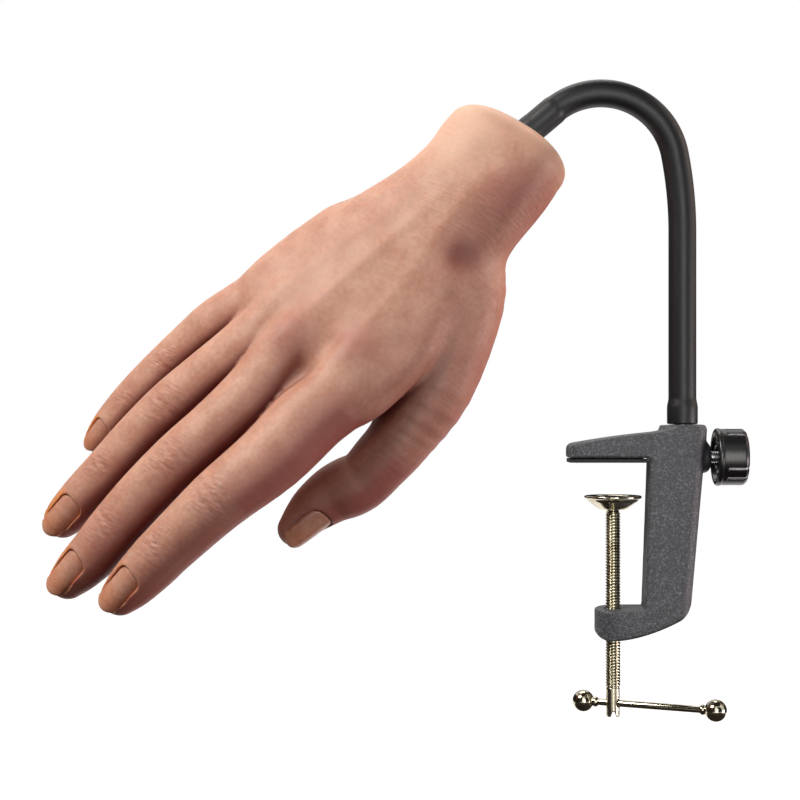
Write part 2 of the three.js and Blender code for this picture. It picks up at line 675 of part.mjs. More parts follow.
// One digit: rings along a smooth line through its joints. At the tip the back stays straight
// and the pad curves up to meet it.
function digitBody({ joints }, grow = 0) {
  const line = new THREE.CatmullRomCurve3(joints.map(([x, y, z]) => new THREE.Vector3(x, y, z)));
  const steps = 2 * (joints.length - 1);
  const rings = [];
  const ringAt = (centre, forward, radius) => {
    const { side, up } = digitAxes(forward);
    const ring = [];
    for (let i = 0; i < FINGER_SIDES; i++) {
      const angle = (i / FINGER_SIDES) * Math.PI * 2;
      const p = centre.clone().addScaledVector(side, radius * Math.cos(angle));
      ring.push(p.addScaledVector(up, radius * FINGER_FLATNESS * Math.sin(angle)));
    }
    return ring;
  };
  const radiusAt = (t) => {
    const place = t * (joints.length - 1);
    const low = Math.min(Math.floor(place), joints.length - 2);
    return grow + THREE.MathUtils.lerp(joints[low][3], joints[low + 1][3], place - low);
  };
  for (let i = 0; i <= steps; i++) {
    const t = i / steps;
    rings.push(ringAt(line.getPoint(t), line.getTangent(t), radiusAt(t)));
  }
  const tip = line.getPoint(1);
  const forward = line.getTangent(1);
  const { up } = digitAxes(forward);
  const radius = radiusAt(1);
  for (const angle of TIP_RINGS) {
    const turn = THREE.MathUtils.degToRad(angle);
    const lift = TIP_LIFT * FINGER_FLATNESS * radius * (1 - Math.cos(turn));
    const centre = tip.clone().addScaledVector(forward, radius * Math.sin(turn));
    rings.push(ringAt(centre.addScaledVector(up, lift), forward, radius * Math.cos(turn)));
  }
  return solid(lofted(rings));
}

// The upright wall round a nail's outline: a round root, straight sides, and an end that keeps
// to the fingertip's round.
function nailWall({ joints, nail }, gap, open) {
  const [before, last] = joints.slice(-2);
  const back = ([x, y, z, radius]) => new THREE.Vector3(x, y, z + FINGER_FLATNESS * radius);
  const forward = back(last).sub(back(before)).normalize();
  const { side, up } = digitAxes(forward);
  const turn = -THREE.MathUtils.degToRad(nail.turn);
  const spin = new THREE.Quaternion().setFromAxisAngle(forward, turn);
  const frame = new THREE.Matrix4().makeBasis(
    forward,
    side.applyQuaternion(spin),
    up.applyQuaternion(spin),
  );
  frame.setPosition(new THREE.Vector3(...last));
  const radius = last[3];
  const half = nail.width / 2 + gap;
  const end = radius - NAIL_SETBACK;
  const root = end - nail.length - gap;
  const rootRound = 0.9 * half;
  const shape = new THREE.Shape();
  for (let i = 0; i <= NAIL_SIDES; i++) {
    const angle = Math.PI / 2 + (Math.PI * i) / NAIL_SIDES;
    const x = root + rootRound + rootRound * Math.cos(angle);
    const y = half * Math.sin(angle);
    if (i) shape.lineTo(x, y);
    else shape.moveTo(x, y);
  }
  if (open) {
    shape.lineTo(end + 4, -half);
    shape.lineTo(end + 4, half);
  } else {
    for (let i = 0; i <= NAIL_SIDES; i++) {
      const y = -half + (2 * half * i) / NAIL_SIDES;
      shape.lineTo(Math.sqrt(Math.max(end * end - y * y, 0)), y);
    }
  }
  shape.closePath();
  const foot = radius * NAIL_WRAP - gap;
  const wall = new THREE.ExtrudeGeometry(shape, { depth: 2 * radius, bevelEnabled: false });
  return solid(wall.translate(0, 0, foot).applyMatrix4(frame));
}

let skin = palm();
for (const [name, digit] of Object.entries(DIGITS)) {
  const nailFloor = NAIL_PROUD - NAIL_THICKNESS;
  const shell = cut(digitBody(digit, NAIL_PROUD), digitBody(digit, nailFloor));
  const plate = shell.intersect(nailWall(digit, 0, false));
  const pocket = cut(nailWall(digit, SEAT_GAP, true), digitBody(digit, nailFloor - SEAT_GAP));
  skin = skin.add(cut(digitBody(digit), pocket));
  place("nail_" + name, geometryOf(plate), nailAcrylic, hand);
}

// The wrist's moulded insert and the hollow that the silicone keeps for it.
const mouthReach = PLUG_LENGTH + PLUG_RECESS;
const mouthBore = rod(
  TOP_SLEEVE_RADIUS + MOUTH_GAP,
  mouthReach + PLUG_RECESS + PLUG_LENGTH / 2,
  new THREE.Vector3(-mouthReach, 0, 0),
  RIGHT,
);
const plugHollow = rod(
  PLUG_RADIUS + SEAT_GAP,
  PLUG_LENGTH + 2 * SEAT_GAP,
  new THREE.Vector3(PLUG_RECESS - SEAT_GAP, 0, 0),
  RIGHT,
);
skin = cut(skin, mouthBore, plugHollow);
place("hand_skin", geometryOf(skin), silicone, hand);

function wristPlug() {
  const groove = (height) => [
    [PLUG_RADIUS, height - 2],
    [PLUG_RADIUS - PLUG_GROOVE, height - 1],
    [PLUG_RADIUS - PLUG_GROOVE, height + 1],
    [PLUG_RADIUS, height + 2],
  ];
  const bore = STUD_RADIUS + RUN_GAP;
  const plug = turned(
    [
      [bore, 0],
      [PLUG_RADIUS, 0],
      ...groove(PLUG_LENGTH / 3),
      ...groove((2 * PLUG_LENGTH) / 3),
      [PLUG_RADIUS, PLUG_LENGTH],
      [0, PLUG_LENGTH],
      [0, PLUG_BORE_DEPTH],
      [bore, PLUG_BORE_DEPTH],
      [bore, 0],
    ],
    24,
  );
  return along(plug, new THREE.Vector3(PLUG_RECESS, 0, 0), RIGHT);
}

place("wrist_plug", wristPlug(), insertPlastic, hand);

export default group;
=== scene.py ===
import math

import bpy
import numpy as np
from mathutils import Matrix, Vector


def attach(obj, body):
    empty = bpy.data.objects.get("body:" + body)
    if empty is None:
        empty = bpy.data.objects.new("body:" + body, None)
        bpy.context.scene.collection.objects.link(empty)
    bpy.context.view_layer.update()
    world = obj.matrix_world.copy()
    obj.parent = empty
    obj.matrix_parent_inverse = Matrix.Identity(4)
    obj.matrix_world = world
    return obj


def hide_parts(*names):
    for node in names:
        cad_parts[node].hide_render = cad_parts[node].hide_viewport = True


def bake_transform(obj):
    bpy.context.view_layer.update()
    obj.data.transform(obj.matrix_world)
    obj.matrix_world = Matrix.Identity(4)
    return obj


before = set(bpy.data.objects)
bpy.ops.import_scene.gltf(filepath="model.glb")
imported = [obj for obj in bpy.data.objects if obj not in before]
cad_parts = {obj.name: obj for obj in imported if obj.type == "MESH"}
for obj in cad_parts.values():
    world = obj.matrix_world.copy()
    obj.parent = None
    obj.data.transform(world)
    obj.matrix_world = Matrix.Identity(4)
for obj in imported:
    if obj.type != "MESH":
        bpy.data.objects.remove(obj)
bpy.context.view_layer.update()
MM = 0.001

# Helpers


def linear(colour):
    """An sRGB hex colour as linear RGBA."""
    parts = [int(colour[i:i + 2], 16) / 255 for i in (1, 3, 5)]
    turn = [c / 12.92 if c <= 0.04045 else ((c + 0.055) / 1.055) ** 2.4 for c in parts]
    return (*turn, 1.0)


def feed(node, values):
    """A node's inputs: plain values, sockets to link from, or nodes whose first output is linked."""
    for key, value in values.items():
        if isinstance(value, bpy.types.Node):
            value = value.outputs[0]
        if isinstance(value, bpy.types.NodeSocket):
            node.id_data.links.new(value, node.inputs[key])
        else:
            node.inputs[key].default_value = value


def add(tree, kind, settings=None, inputs=None, stops=()):
    """One node: its settings, its inputs as feed takes them, its colour stops."""
    made = tree.nodes.new(kind)
    for key, value in (settings or {}).items():
        setattr(made, key, value)
    feed(made, inputs or {})
    while stops and len(made.color_ramp.elements) < len(stops):
        made.color_ramp.elements.new(0.5)
    for number, (place, colour) in enumerate(stops):
        made.color_ramp.elements[number].position = place
        made.color_ramp.elements[number].color = linear(colour)
    return made


def new_material(name, finish):
    """A material with its shader's plain values set, and its node tree ready for more."""
    material = bpy.data.materials.new(name)
    material.use_nodes = True
    shader = material.node_tree.nodes["Principled BSDF"]
    feed(shader, finish)
    return material, material.node_tree, shader


def patterned(name, finish, *clouds, place=None):
    """A material with cloudy patterns laid in the object's own space, or in the place that a mark holds.
    Each pattern is its size in millimetres and its detail."""
    material, tree, shader = new_material(name, finish)
    if place:
        where = add(tree, "ShaderNodeAttribute", {"attribute_name": place}).outputs["Vector"]
    else:
        where = add(tree, "ShaderNodeTexCoord").outputs["Object"]
    made = [add(tree, "ShaderNodeTexNoise", inputs={
        "Vector": where, "Scale": 1 / (size * MM), "Detail": detail}) for size, detail in clouds]
    return material, tree, shader, where, *made


def surface(tree, shader, tint=None, dull=None, lift=None, spread=(0.3, 0.75)):
    """What a finish's patterns do: one tints it by colour stops, one takes its roughness from low to
    high over the pattern's spread of values, one lifts it by a strength and a height in millimetres."""
    if tint:
        pattern, stops = tint
        feed(shader, {"Base Color": add(tree, "ShaderNodeValToRGB", inputs={"Fac": pattern}, stops=stops)})
    if dull:
        pattern, low, high = dull
        feed(shader, {"Roughness": add(tree, "ShaderNodeMapRange", inputs={
            "Value": pattern, "From Min": spread[0], "From Max": spread[1], "To Min": low, "To Max": high})})
    if lift:
        pattern, strength, height = lift
        feed(shader, {"Normal": add(tree, "ShaderNodeBump", inputs={
            "Height": pattern, "Strength": strength, "Distance": height * MM})})


def piece(name, points, faces, material, body, slot, replaces=(), smooth=40):
    """A mesh from points in millimetres, with its material, its body and what it stands for."""
    mesh = bpy.data.meshes.new(name)
    mesh.from_pydata((np.asarray(points, float) * MM).tolist(), [], faces)
    mesh.validate()
    mesh.update()
    mesh.materials.append(material)
    obj = bpy.data.objects.new(name, mesh)
    bpy.context.scene.collection.objects.link(obj)
    mesh.shade_smooth()
    if smooth:
        mesh.set_sharp_from_angle(angle=math.radians(smooth))
    if body:
        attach(obj, body)
    if replaces:
        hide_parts(*replaces)
    return obj


def mark(obj, **marks):
    """Values at a piece's points, which its material reads by name."""
    for name, values in marks.items():
        layer = obj.data.attributes.new(name, "FLOAT", "POINT")
        layer.data.foreach_set("value", np.ravel(values).astype(np.float32))


def ringed(rings):
    """Points and faces of a body through rings, its two ends closed by flat faces."""
    count = len(rings[0])
    last = (len(rings) - 1) * count
    points = [p for ring in rings for p in ring]
    faces = []
    for low in range(0, last, count):
        for i in range(count):
            j = (i + 1) % count
            faces.append((low + i, low + j, low + count + j, low + count + i))
    faces.append(tuple(range(count - 1, -1, -1)))
    faces.append(tuple(range(last, last + count)))
    return points, faces


def turned(profile, at=(0, 0, 0), axis=(0, 0, 1), sides=96):
    """A turned body from (radius, height) pairs about an axis; a ring of radius 0 is a point."""
    axis = Vector(axis).normalized()
    side = axis.orthogonal().normalized()
    if abs(axis.z) > 0.99:
        side = Vector((1, 0, 0))
    other = axis.cross(side)
    points, rows = [], []
    for radius, height in profile:
        row = []
        for i in range(1 if radius < 1e-6 else sides):
            angle = 2 * math.pi * i / sides
            way = side * math.cos(angle) + other * math.sin(angle)
            row.append(len(points))
            points.append(tuple(Vector(at) + axis * height + way * radius))
        rows.append(row)
    faces = []
    for low, high in zip(rows[:-1], rows[1:]):
        if len(low) == len(high) == 1:
            continue
        for i in range(sides):
            j = (i + 1) % sides
            a, b = low[i % len(low)], low[j % len(low)]
            c, d = high[j % len(high)], high[i % len(high)]
            face = [v for k, v in enumerate((a, b, c, d)) if v not in (a, b, c, d)[:k]]
            if len(face) > 2:
                faces.append(tuple(face))
    return points, faces


def rounded(profile, radius, steps):
    """A profile of (radius, height) pairs with its inner corners rounded off."""
    out = [profile[0]]
    for a, b, c in zip(profile[:-2], profile[1:-1], profile[2:]):
        a, b, c = np.array(a, float), np.array(b, float), np.array(c, float)
        cut = min(radius, 0.45 * np.linalg.norm(a - b), 0.45 * np.linalg.norm(c - b))
        start = b + (a - b) / np.linalg.norm(a - b) * cut
        end = b + (c - b) / np.linalg.norm(c - b) * cut
        for t in np.linspace(0, 1, steps):
            out.append(tuple((1 - t) ** 2 * start + 2 * t * (1 - t) * b + t * t * end))
    return out + [profile[-1]]


# A body as a distance field on a grid of cells, joined with soft edges, then skinned.
class Grid:
    """Even cells over a box in millimetres."""

    def __init__(self, low, high, cell):
        self.low, self.cell = np.array(low, float), cell
        self.shape = tuple(int(math.ceil((h - l) / cell)) + 1 for l, h in zip(low, high))
        self.axes = [self.low[k] + cell * np.arange(self.shape[k]) for k in range(3)]

    def window(self, low, high):
        spans = []
        for k in range(3):
            start = max(0, int((low[k] - self.low[k]) / self.cell))
            stop = min(self.shape[k], int((high[k] - self.low[k]) / self.cell) + 2)
            spans.append(slice(start, max(start, stop)))
        return tuple(spans)

    def points(self, window=(slice(None),) * 3):
        return np.meshgrid(*[a[s] for a, s in zip(self.axes, window)], indexing="ij", sparse=True)


def soft_min(a, b, width):
    """Two fields joined, the corner between them filled over a width."""
    share = np.clip(0.5 + 0.5 * (b - a) / width, 0, 1)
    return b + (a - b) * share - width * share * (1 - share)


def soft_max(a, b, width):
    """What two fields share, the corner between them eased over a width."""
    return -soft_min(-a, -b, width)


def skin_of(field, grid):
    """The zero level of a field as points and quads facing out, one point to each crossed cell."""
    inside = field < 0
    nx, ny, nz = field.shape
    corners = [(i, j, k) for i in (0, 1) for j in (0, 1) for k in (0, 1)]

    def shifted(values, corner):
        i, j, k = corner
        return values[i:nx - 1 + i, j:ny - 1 + j, k:nz - 1 + k]

    count = sum(shifted(inside, c).astype(np.int8) for c in corners)
    cells = np.argwhere((count > 0) & (count < 8))
    number = np.full((nx - 1, ny - 1, nz - 1), -1, np.int32)
    number[tuple(cells.T)] = np.arange(len(cells))
    value = {c: field[tuple((cells + c).T)] for c in corners}
    total, hits = np.zeros((len(cells), 3)), np.zeros(len(cells))
    for corner in corners:
        for axis in range(3):
            if corner[axis]:
                continue
            other = tuple(corner[k] + (k == axis) for k in range(3))
            a, b = value[corner], value[other]
            cross = (a < 0) != (b < 0)
            place = np.tile(np.array(corner, float), (len(cells), 1))
            place[:, axis] += np.where(cross, a / np.where(cross, a - b, 1), 0)
            total[cross] += place[cross]
            hits[cross] += 1
    points = grid.low + grid.cell * (cells + total / hits[:, None])
    quads = []
    for axis in range(3):
        across = [k for k in range(3) if k != axis]
        near = [slice(1, -1)] * 3
        near[axis] = slice(0, -1)
        far = list(near)
        far[axis] = slice(1, None)
        edge = np.zeros_like(inside)
        edge[tuple(near)] = inside[tuple(near)] != inside[tuple(far)]
        at = np.argwhere(edge)
        quad = []
        for du, dv in ((0, 0), (1, 0), (1, 1), (0, 1)):
            cell = at.copy()
            cell[:, across[0]] -= du
            cell[:, across[1]] -= dv
            quad.append(number[tuple(cell.T)])
        quad = np.stack(quad, 1)
        keep = inside[tuple(at.T)] ^ (axis == 1)
        quad[~keep] = quad[~keep][:, ::-1]
        quads.append(quad)
    return points, np.vstack(quads)


def eased(points, quads, rounds):
    """Points moved towards their neighbours' middle and back, which takes off the cells' steps."""
    a = np.concatenate([quads[:, k] for k in range(4)])
    b = np.concatenate([quads[:, (k + 1) % 4] for k in range(4)])
    both = np.concatenate([a, b]), np.concatenate([b, a])
    degree = np.bincount(both[0], minlength=len(points))[:, None]
    for step in [0.5, -0.52] * rounds:
        middle = np.stack([np.bincount(both[0], points[both[1], k], len(points)) for k in range(3)], 1)
        points = points + step * (middle / degree - points)
    return points


def normals_of(points, quads):
    """The way each point of a skin faces, out of the body."""
    cross = np.cross(points[quads[:, 2]] - points[quads[:, 0]], points[quads[:, 3]] - points[quads[:, 1]])
    total = np.stack(
        [sum(np.bincount(quads[:, c], cross[:, k], len(points)) for c in range(4)) for k in range(3)], 1)
    return total / np.maximum(np.linalg.norm(total, axis=1), 1e-9)[:, None]


def flow(rows, count):
    """A smooth line through rows of values, count steps to each pair."""
    rows = np.asarray(rows, float)
    ends = np.vstack([2 * rows[0] - rows[1], rows, 2 * rows[-1] - rows[-2]])
    out = []
    for a, b, c, d in zip(ends[:-3], ends[1:-2], ends[2:-1], ends[3:]):
        for t in np.arange(count) / count:
            out.append(0.5 * (2 * b + (c - a) * t + (2 * a - 5 * b + 4 * c - d) * t * t
                              + (3 * b - a - 3 * c + d) * t ** 3))
    out.append(rows[-1])
    return np.array(out)


def rises(value, start, end):
    """From 0 at start to 1 at end in a straight line, and level beyond them."""
    return np.clip((value - start) / (end - start), 0, 1)


def bump(distance, width):
    """A soft bell of height 1 that is low beyond its width."""
    return np.exp(-((distance / width) ** 2))


def spot(x, y, middle_x, middle_y, half_length, half_width):
    """A soft bell about a place on the hand's back."""
    return bump(np.hypot((x - middle_x) / half_length, (y - middle_y) / half_width), 1)


def round_max(a, b, radius):
    """Where two bodies meet, with the outer edge between them rounded to a radius."""
    over = np.hypot(np.maximum(a + radius, 0), np.maximum(b + radius, 0)) - radius
    return np.minimum(np.maximum(a, b), -radius) + np.maximum(over + radius, 0)


def outline_distance(outline, u, v):
    """Signed distance in a plane to a closed outline, negative inside."""
    outline = np.asarray(outline, float)
    nearest = np.full(np.broadcast(u, v).shape, 1e9)
    inside = np.zeros(nearest.shape, bool)
    for (au, av), (bu, bv) in zip(outline, np.roll(outline, -1, axis=0)):
        du, dv = bu - au, bv - av
        share = np.clip(((u - au) * du + (v - av) * dv) / (du * du + dv * dv), 0, 1)
        nearest = np.minimum(nearest, (u - au - share * du) ** 2 + (v - av - share * dv) ** 2)
        if dv:
            crosses = ((av <= v) != (bv <= v)) & (u < au + (v - av) * du / dv)
            inside ^= crosses
    return np.where(inside, -1, 1) * np.sqrt(nearest)


def curve(points, steps):
    """Points along the curve of some control points, without the first: two of them give a straight."""
    points = [np.array(p, float) for p in points]
    out = []
    for t in np.arange(1, steps + 1) / steps:
        level = points
        while len(level) > 1:
            level = [(1 - t) * a + t * b for a, b in zip(level[:-1], level[1:])]
        out.append(tuple(level[0]))
    return out


# Stage

PIXELS = 800
VIEW_DISTANCE = 0.600
MM_PER_PIXEL = 0.34
SENSOR = 36.0

camera_data = bpy.data.cameras.new("camera")
camera_data.sensor_width = SENSOR
camera_data.lens = VIEW_DISTANCE / MM / MM_PER_PIXEL * SENSOR / PIXELS
camera = bpy.data.objects.new("camera", camera_data)
camera.location = (-0.0724, -VIEW_DISTANCE, 0.0211)
camera.rotation_euler = (math.radians(90), 0, 0)
bpy.context.scene.collection.objects.link(camera)
bpy.context.scene.camera = camera
bpy.context.scene.view_settings.view_transform = "Standard"


def soft_lamp(name, at, towards, size, watts, colour):
    data = bpy.data.lights.new(name, "AREA")
    data.shape = "RECTANGLE"
    data.size, data.size_y = size
    data.energy = watts
    data.color = linear(colour)[:3]
    lamp = bpy.data.objects.new(name, data)
    lamp.location = at
    lamp.rotation_euler = (Vector(towards) - Vector(at)).to_track_quat("-Z", "Y").to_euler()
    bpy.context.scene.collection.objects.link(lamp)


soft_lamp("key", (-0.72, -0.42, 0.78), (-0.06, 0, 0.04), (0.4, 0.4), 11.7, "#fffbf6")
soft_lamp("fill", (0.66, -0.18, -0.12), (-0.02, 0, 0.02), (0.3, 0.14), 2.5, "#fff0f2")
soft_lamp("crown", (-0.1, 0.35, 0.75), (-0.03, 0, 0.1), (0.6, 0.3), 2.2, "#fffaf6")
soft_lamp("rim", (0.5, 0.2, 0.32), (0.0, 0, 0.1), (0.15, 0.3), 2.2, "#ffe6d6")
soft_lamp("front", (-0.1, -0.85, 0.12), (-0.05, 0, 0.0), (0.3, 0.9), 0.9, "#ffffff")

world = bpy.data.worlds.new("studio")
world.use_nodes = True
bpy.context.scene.world = world
sky = world.node_tree
rays = add(sky, "ShaderNodeLightPath").outputs
seen = add(sky, "ShaderNodeMath", {"operation": "MAXIMUM"},
           {0: rays["Is Camera Ray"], 1: rays["Is Glossy Ray"]})
seen = add(sky, "ShaderNodeMath", {"operation": "MAXIMUM"}, {0: seen, 1: rays["Is Transmission Ray"]})
strength = add(sky, "ShaderNodeMapRange", inputs={"Value": seen, "To Min": 0.15, "To Max": 1.0})
feed(sky.nodes["Background"], {"Color": linear("#ffffff"), "Strength": strength})


def stage_sheet(name, centre, reach_a, reach_b, material):
    """A flat sheet about its centre, part of the stage and not of the object."""
    centre, reach_a, reach_b = Vector(centre), Vector(reach_a), Vector(reach_b)
    corners = [centre + a * reach_a + b * reach_b for a, b in ((-1, -1), (1, -1), (1, 1), (-1, 1))]
    mesh = bpy.data.meshes.new(name)
    mesh.from_pydata(corners, [], [(0, 1, 2, 3)])
    mesh.materials.append(material)
    sheet = bpy.data.objects.new(name, mesh)
    bpy.context.scene.collection.objects.link(sheet)
    return sheet


# Matt white board: plain, and lifted to white where the camera or a bright surface sees it.
board, tree, shader = new_material("matt_white_board", {
    "Roughness": 0.9, "Base Color": linear("#c9c9c9"), "Emission Color": linear("#ffffff")})
rays = add(tree, "ShaderNodeLightPath").outputs
lift = add(tree, "ShaderNodeMath", {"operation": "MAXIMUM"},
           {0: rays["Is Camera Ray"], 1: rays["Is Glossy Ray"]})
lift = add(tree, "ShaderNodeMath", {"operation": "MULTIPLY"}, {0: lift, 1: 0.86})
feed(shader, {"Emission Strength": lift})
stage_sheet("floor", (0, 0, -0.2), (4, 0, 0), (0, 4, 0), board)

# Matt dark cards stand around the object, out of view, so that the plated metal has dark edges. A bright
# strip stands before it, seen only in polished surfaces: a clear line of light on each.
matt_card = new_material("matt_dark_card", {"Roughness": 0.9, "Base Color": linear("#1d1812")})[0]
lit_strip = new_material("lit_strip", {
    "Base Color": linear("#000000"), "Emission Color": linear("#fffdf8"), "Emission Strength": 9.0})[0]
for name, centre, reach_a, reach_b in (
        ("card_left", (-0.5, 0.0, 0.05), (0, 0.6, 0), (0, 0, 0.25)),
        ("card_right", (0.42, 0.42, 0.15), (0, 0.42, 0), (0, 0, 0.35)),
        ("card_front_left", (-0.8, -0.95, 0.4), (0.52, 0, 0), (0, 0, 0.6)),
        ("card_front_right", (0.85, -0.95, 0.4), (0.6, 0, 0), (0, 0, 0.6)),
        ("card_below", (-0.05, -0.18, -0.17), (0.4, 0, 0), (0, 0.27, 0)),
        ("card_above", (0.0, 0.0, 1.1), (0.9, 0, 0), (0, 0.9, 0)),
        ("strip_front", (0.13, -0.9, 0.05), (0.09, 0, 0), (0, 0, 0.27)),
        ("card_behind", (-0.05, 0.9, 0.05), (0.7, 0, 0), (0, 0, 0.24))):
    lit = name == "strip_front"
    sheet = stage_sheet(name, centre, reach_a, reach_b, lit_strip if lit else matt_card)
    sheet.visible_camera = sheet.visible_shadow = False
    sheet.visible_diffuse = not lit

# Materials

# Powder coat on a zinc casting: charcoal; its fine wrinkled grain breaks the light into specks.
# The grain is 0.55 mm, coarser than the real 0.2 mm so that it shows.
powder_coat, tree, shader, place, grain = patterned("powder_coated_casting", {
    "Roughness": 0.42, "IOR": 1.5, "Metallic": 0.0}, (0.55, 3.0))
pits = add(tree, "ShaderNodeTexVoronoi", inputs={"Vector": place, "Scale": 1 / (0.55 * MM)})
height = add(tree, "ShaderNodeMath", {"operation": "MULTIPLY"}, {0: grain, 1: pits})
surface(tree, shader, (grain, [(0.36, "#37393d"), (0.54, "#4b4d52"), (0.72, "#85878d")]),
        (pits, 0.42, 0.6), (height, 0.6, 0.3), spread=(0, 0.8))

# Rubber strip, moulded: matt, nearly black, with a fine even grain.
strip_rubber, tree, shader, _, grain = patterned("moulded_rubber_strip", {
    "Roughness": 0.7, "IOR": 1.52}, (0.5, 3.0))
surface(tree, shader, (grain, [(0.3, "#141415"), (0.75, "#222224")]), lift=(grain, 0.3, 0.15))

# Rubber sleeve, extruded: satin black, smooth, with faint long waves and a soft sheen.
sleeve_rubber, tree, shader, _, waves, grain = patterned("extruded_rubber_sleeve", {
    "Roughness": 0.45, "IOR": 1.43}, (9, 3.0), (0.5, 2.0))
surface(tree, shader, (waves, [(0.35, "#121214"), (0.7, "#191a1e")]), (grain, 0.38, 0.52), (grain, 0.12, 0.1))


# Nickel plate on turned steel: warm and bright, a little clouded, with the lathe's faint marks.
def nickel_plate(name, mark_width, roughness):
    material, tree, shader, _, cloud, marks = patterned(
        name, {"Metallic": 1.0}, (3, 4.0), (mark_width, 2.0))
    surface(tree, shader, (cloud, [(0.3, "#a8a08a"), (0.7, "#cfc9b4")]), (cloud, roughness, roughness + 0.09),
            (marks, 0.06, 0.05))
    return material


bright_nickel = nickel_plate("nickel_plated_steel_polished", 0.5, 0.08)
rolled_nickel = nickel_plate("nickel_plated_steel_rolled_thread", 0.4, 0.17)

# Zinc plate on turned steel: cooler and greyer than the nickel, a little clouded.
zinc_plate, tree, shader, _, cloud = patterned("zinc_plated_steel_turned", {"Metallic": 1.0}, (2, 3.0))
surface(tree, shader, (cloud, [(0.3, "#b9bcbf"), (0.75, "#d6d8da")]), (cloud, 0.2, 0.34))

# ABS knob, injection moulded: black, semi-gloss, with a faint texture from the tool; the floors of its
# grooves are coloured light grey, a painted highlight.
moulded_abs, tree, shader, _, grain = patterned("injection_moulded_abs_black", {
    "Roughness": 0.3, "IOR": 1.53}, (0.4, 2.0))
tint = add(tree, "ShaderNodeValToRGB", inputs={"Fac": grain}, stops=[(0.3, "#141415"), (0.75, "#1e1e20")])
groove = add(tree, "ShaderNodeAttribute", {"attribute_name": "groove"}).outputs["Fac"]
painted_highlight = add(tree, "ShaderNodeMix", {"data_type": "RGBA"},
            {"Factor": groove, "A": tint, "B": linear("#e2e2e4")})
feed(shader, {"Base Color": painted_highlight.outputs["Result"]})
surface(tree, shader, dull=(grain, 0.27, 0.33), lift=(grain, 0.05, 0.1))

# Nylon insert, moulded: milky, a little waxy.
moulded_nylon, tree, shader, _, cloud = patterned("injection_moulded_nylon", {
    "Roughness": 0.45, "IOR": 1.53, "Subsurface Weight": 0.2, "Subsurface Scale": 0.002}, (4, 2.0))
surface(tree, shader, (cloud, [(0.3, "#e2ddd2"), (0.75, "#efebe2")]))

# Skin-toned silicone, cast in a mould from a hand: soft light under the surface, matt, fine skin relief.
# Mottling in 9 mm patches, with flecks of 1.6 mm within it; pores of 0.55 mm.
cast_silicone, tree, shader, place, patches, flecks, pores = patterned("cast_silicone_skin", {
    "IOR": 1.41, "Subsurface Weight": 0.3, "Subsurface Radius": (1.0, 0.32, 0.18),
    "Subsurface Scale": 0.0026, "Roughness": 0.5}, (9, 3.0), (1.6, 3.0), (0.55, 2.0), place="hand_place")
base = add(tree, "ShaderNodeValToRGB", inputs={"Fac": patches}, stops=[(0.3, "#c28a73"), (0.7, "#dbab94")])
fleck = add(tree, "ShaderNodeValToRGB", inputs={"Fac": flecks}, stops=[(0.35, "#ba806a"), (0.7, "#ddb098")])
tone = add(tree, "ShaderNodeMix", {"data_type": "RGBA"}, {"Factor": 0.3, "A": base, "B": fleck})
# Over that, as much as each mark on the hand says: flushed and, on the sides away from the light, painted
# shade;
# a painted orange glow where flesh is thin; painted light, paler; painted shade, where parts face each other.
for name, colour in (("blush", "#a45850"), ("ochre", "#e0915a"), ("pale", "#f3c8ac"), ("depth", "#6a1d10")):
    amount = add(tree, "ShaderNodeAttribute", {"attribute_name": name}).outputs["Fac"]
    tone = add(tree, "ShaderNodeMix", {"data_type": "RGBA"},
               {"Factor": amount, "A": tone.outputs["Result"], "B": linear(colour)})
feed(shader, {"Base Color": tone.outputs["Result"]})
# Fine wrinkles that lie across the hand at a slant, 1 mm apart; they deepen over the joints.
slant = add(tree, "ShaderNodeMapping", inputs={"Vector": place, "Rotation": (0, 0, math.radians(-20))})
ripple = add(tree, "ShaderNodeMapping", inputs={
    "Vector": slant, "Scale": (1 / (1.0 * MM), 1 / (5 * MM), 1 / (5 * MM))})
wrinkles = add(tree, "ShaderNodeTexNoise", inputs={"Vector": ripple, "Scale": 1.0, "Detail": 3.0})
folds = add(tree, "ShaderNodeAttribute", {"attribute_name": "folds"}).outputs["Fac"]
press = add(tree, "ShaderNodeMapRange", inputs={"Value": folds, "To Min": 0.14, "To Max": 1.0})
# Skin cells of 1.1 mm; they and the pores are drawn as coarse as they need to be to show.
cells = add(tree, "ShaderNodeTexVoronoi", {"feature": "DISTANCE_TO_EDGE"},
            {"Vector": place, "Scale": 1 / (1.1 * MM)})
edges = add(tree, "ShaderNodeMapRange", inputs={"Value": cells, "From Max": 0.12})
relief = add(tree, "ShaderNodeMix", inputs={"Factor": 0.5, "A": edges, "B": pores})
fine = add(tree, "ShaderNodeBump", inputs={
    "Height": relief.outputs["Result"], "Strength": 0.16, "Distance": 0.14 * MM})
lumps = add(tree, "ShaderNodeBump", inputs={
    "Height": wrinkles, "Strength": press, "Distance": 0.5 * MM, "Normal": fine})
feed(shader, {"Normal": lumps})
surface(tree, shader, dull=(flecks, 0.46, 0.6))
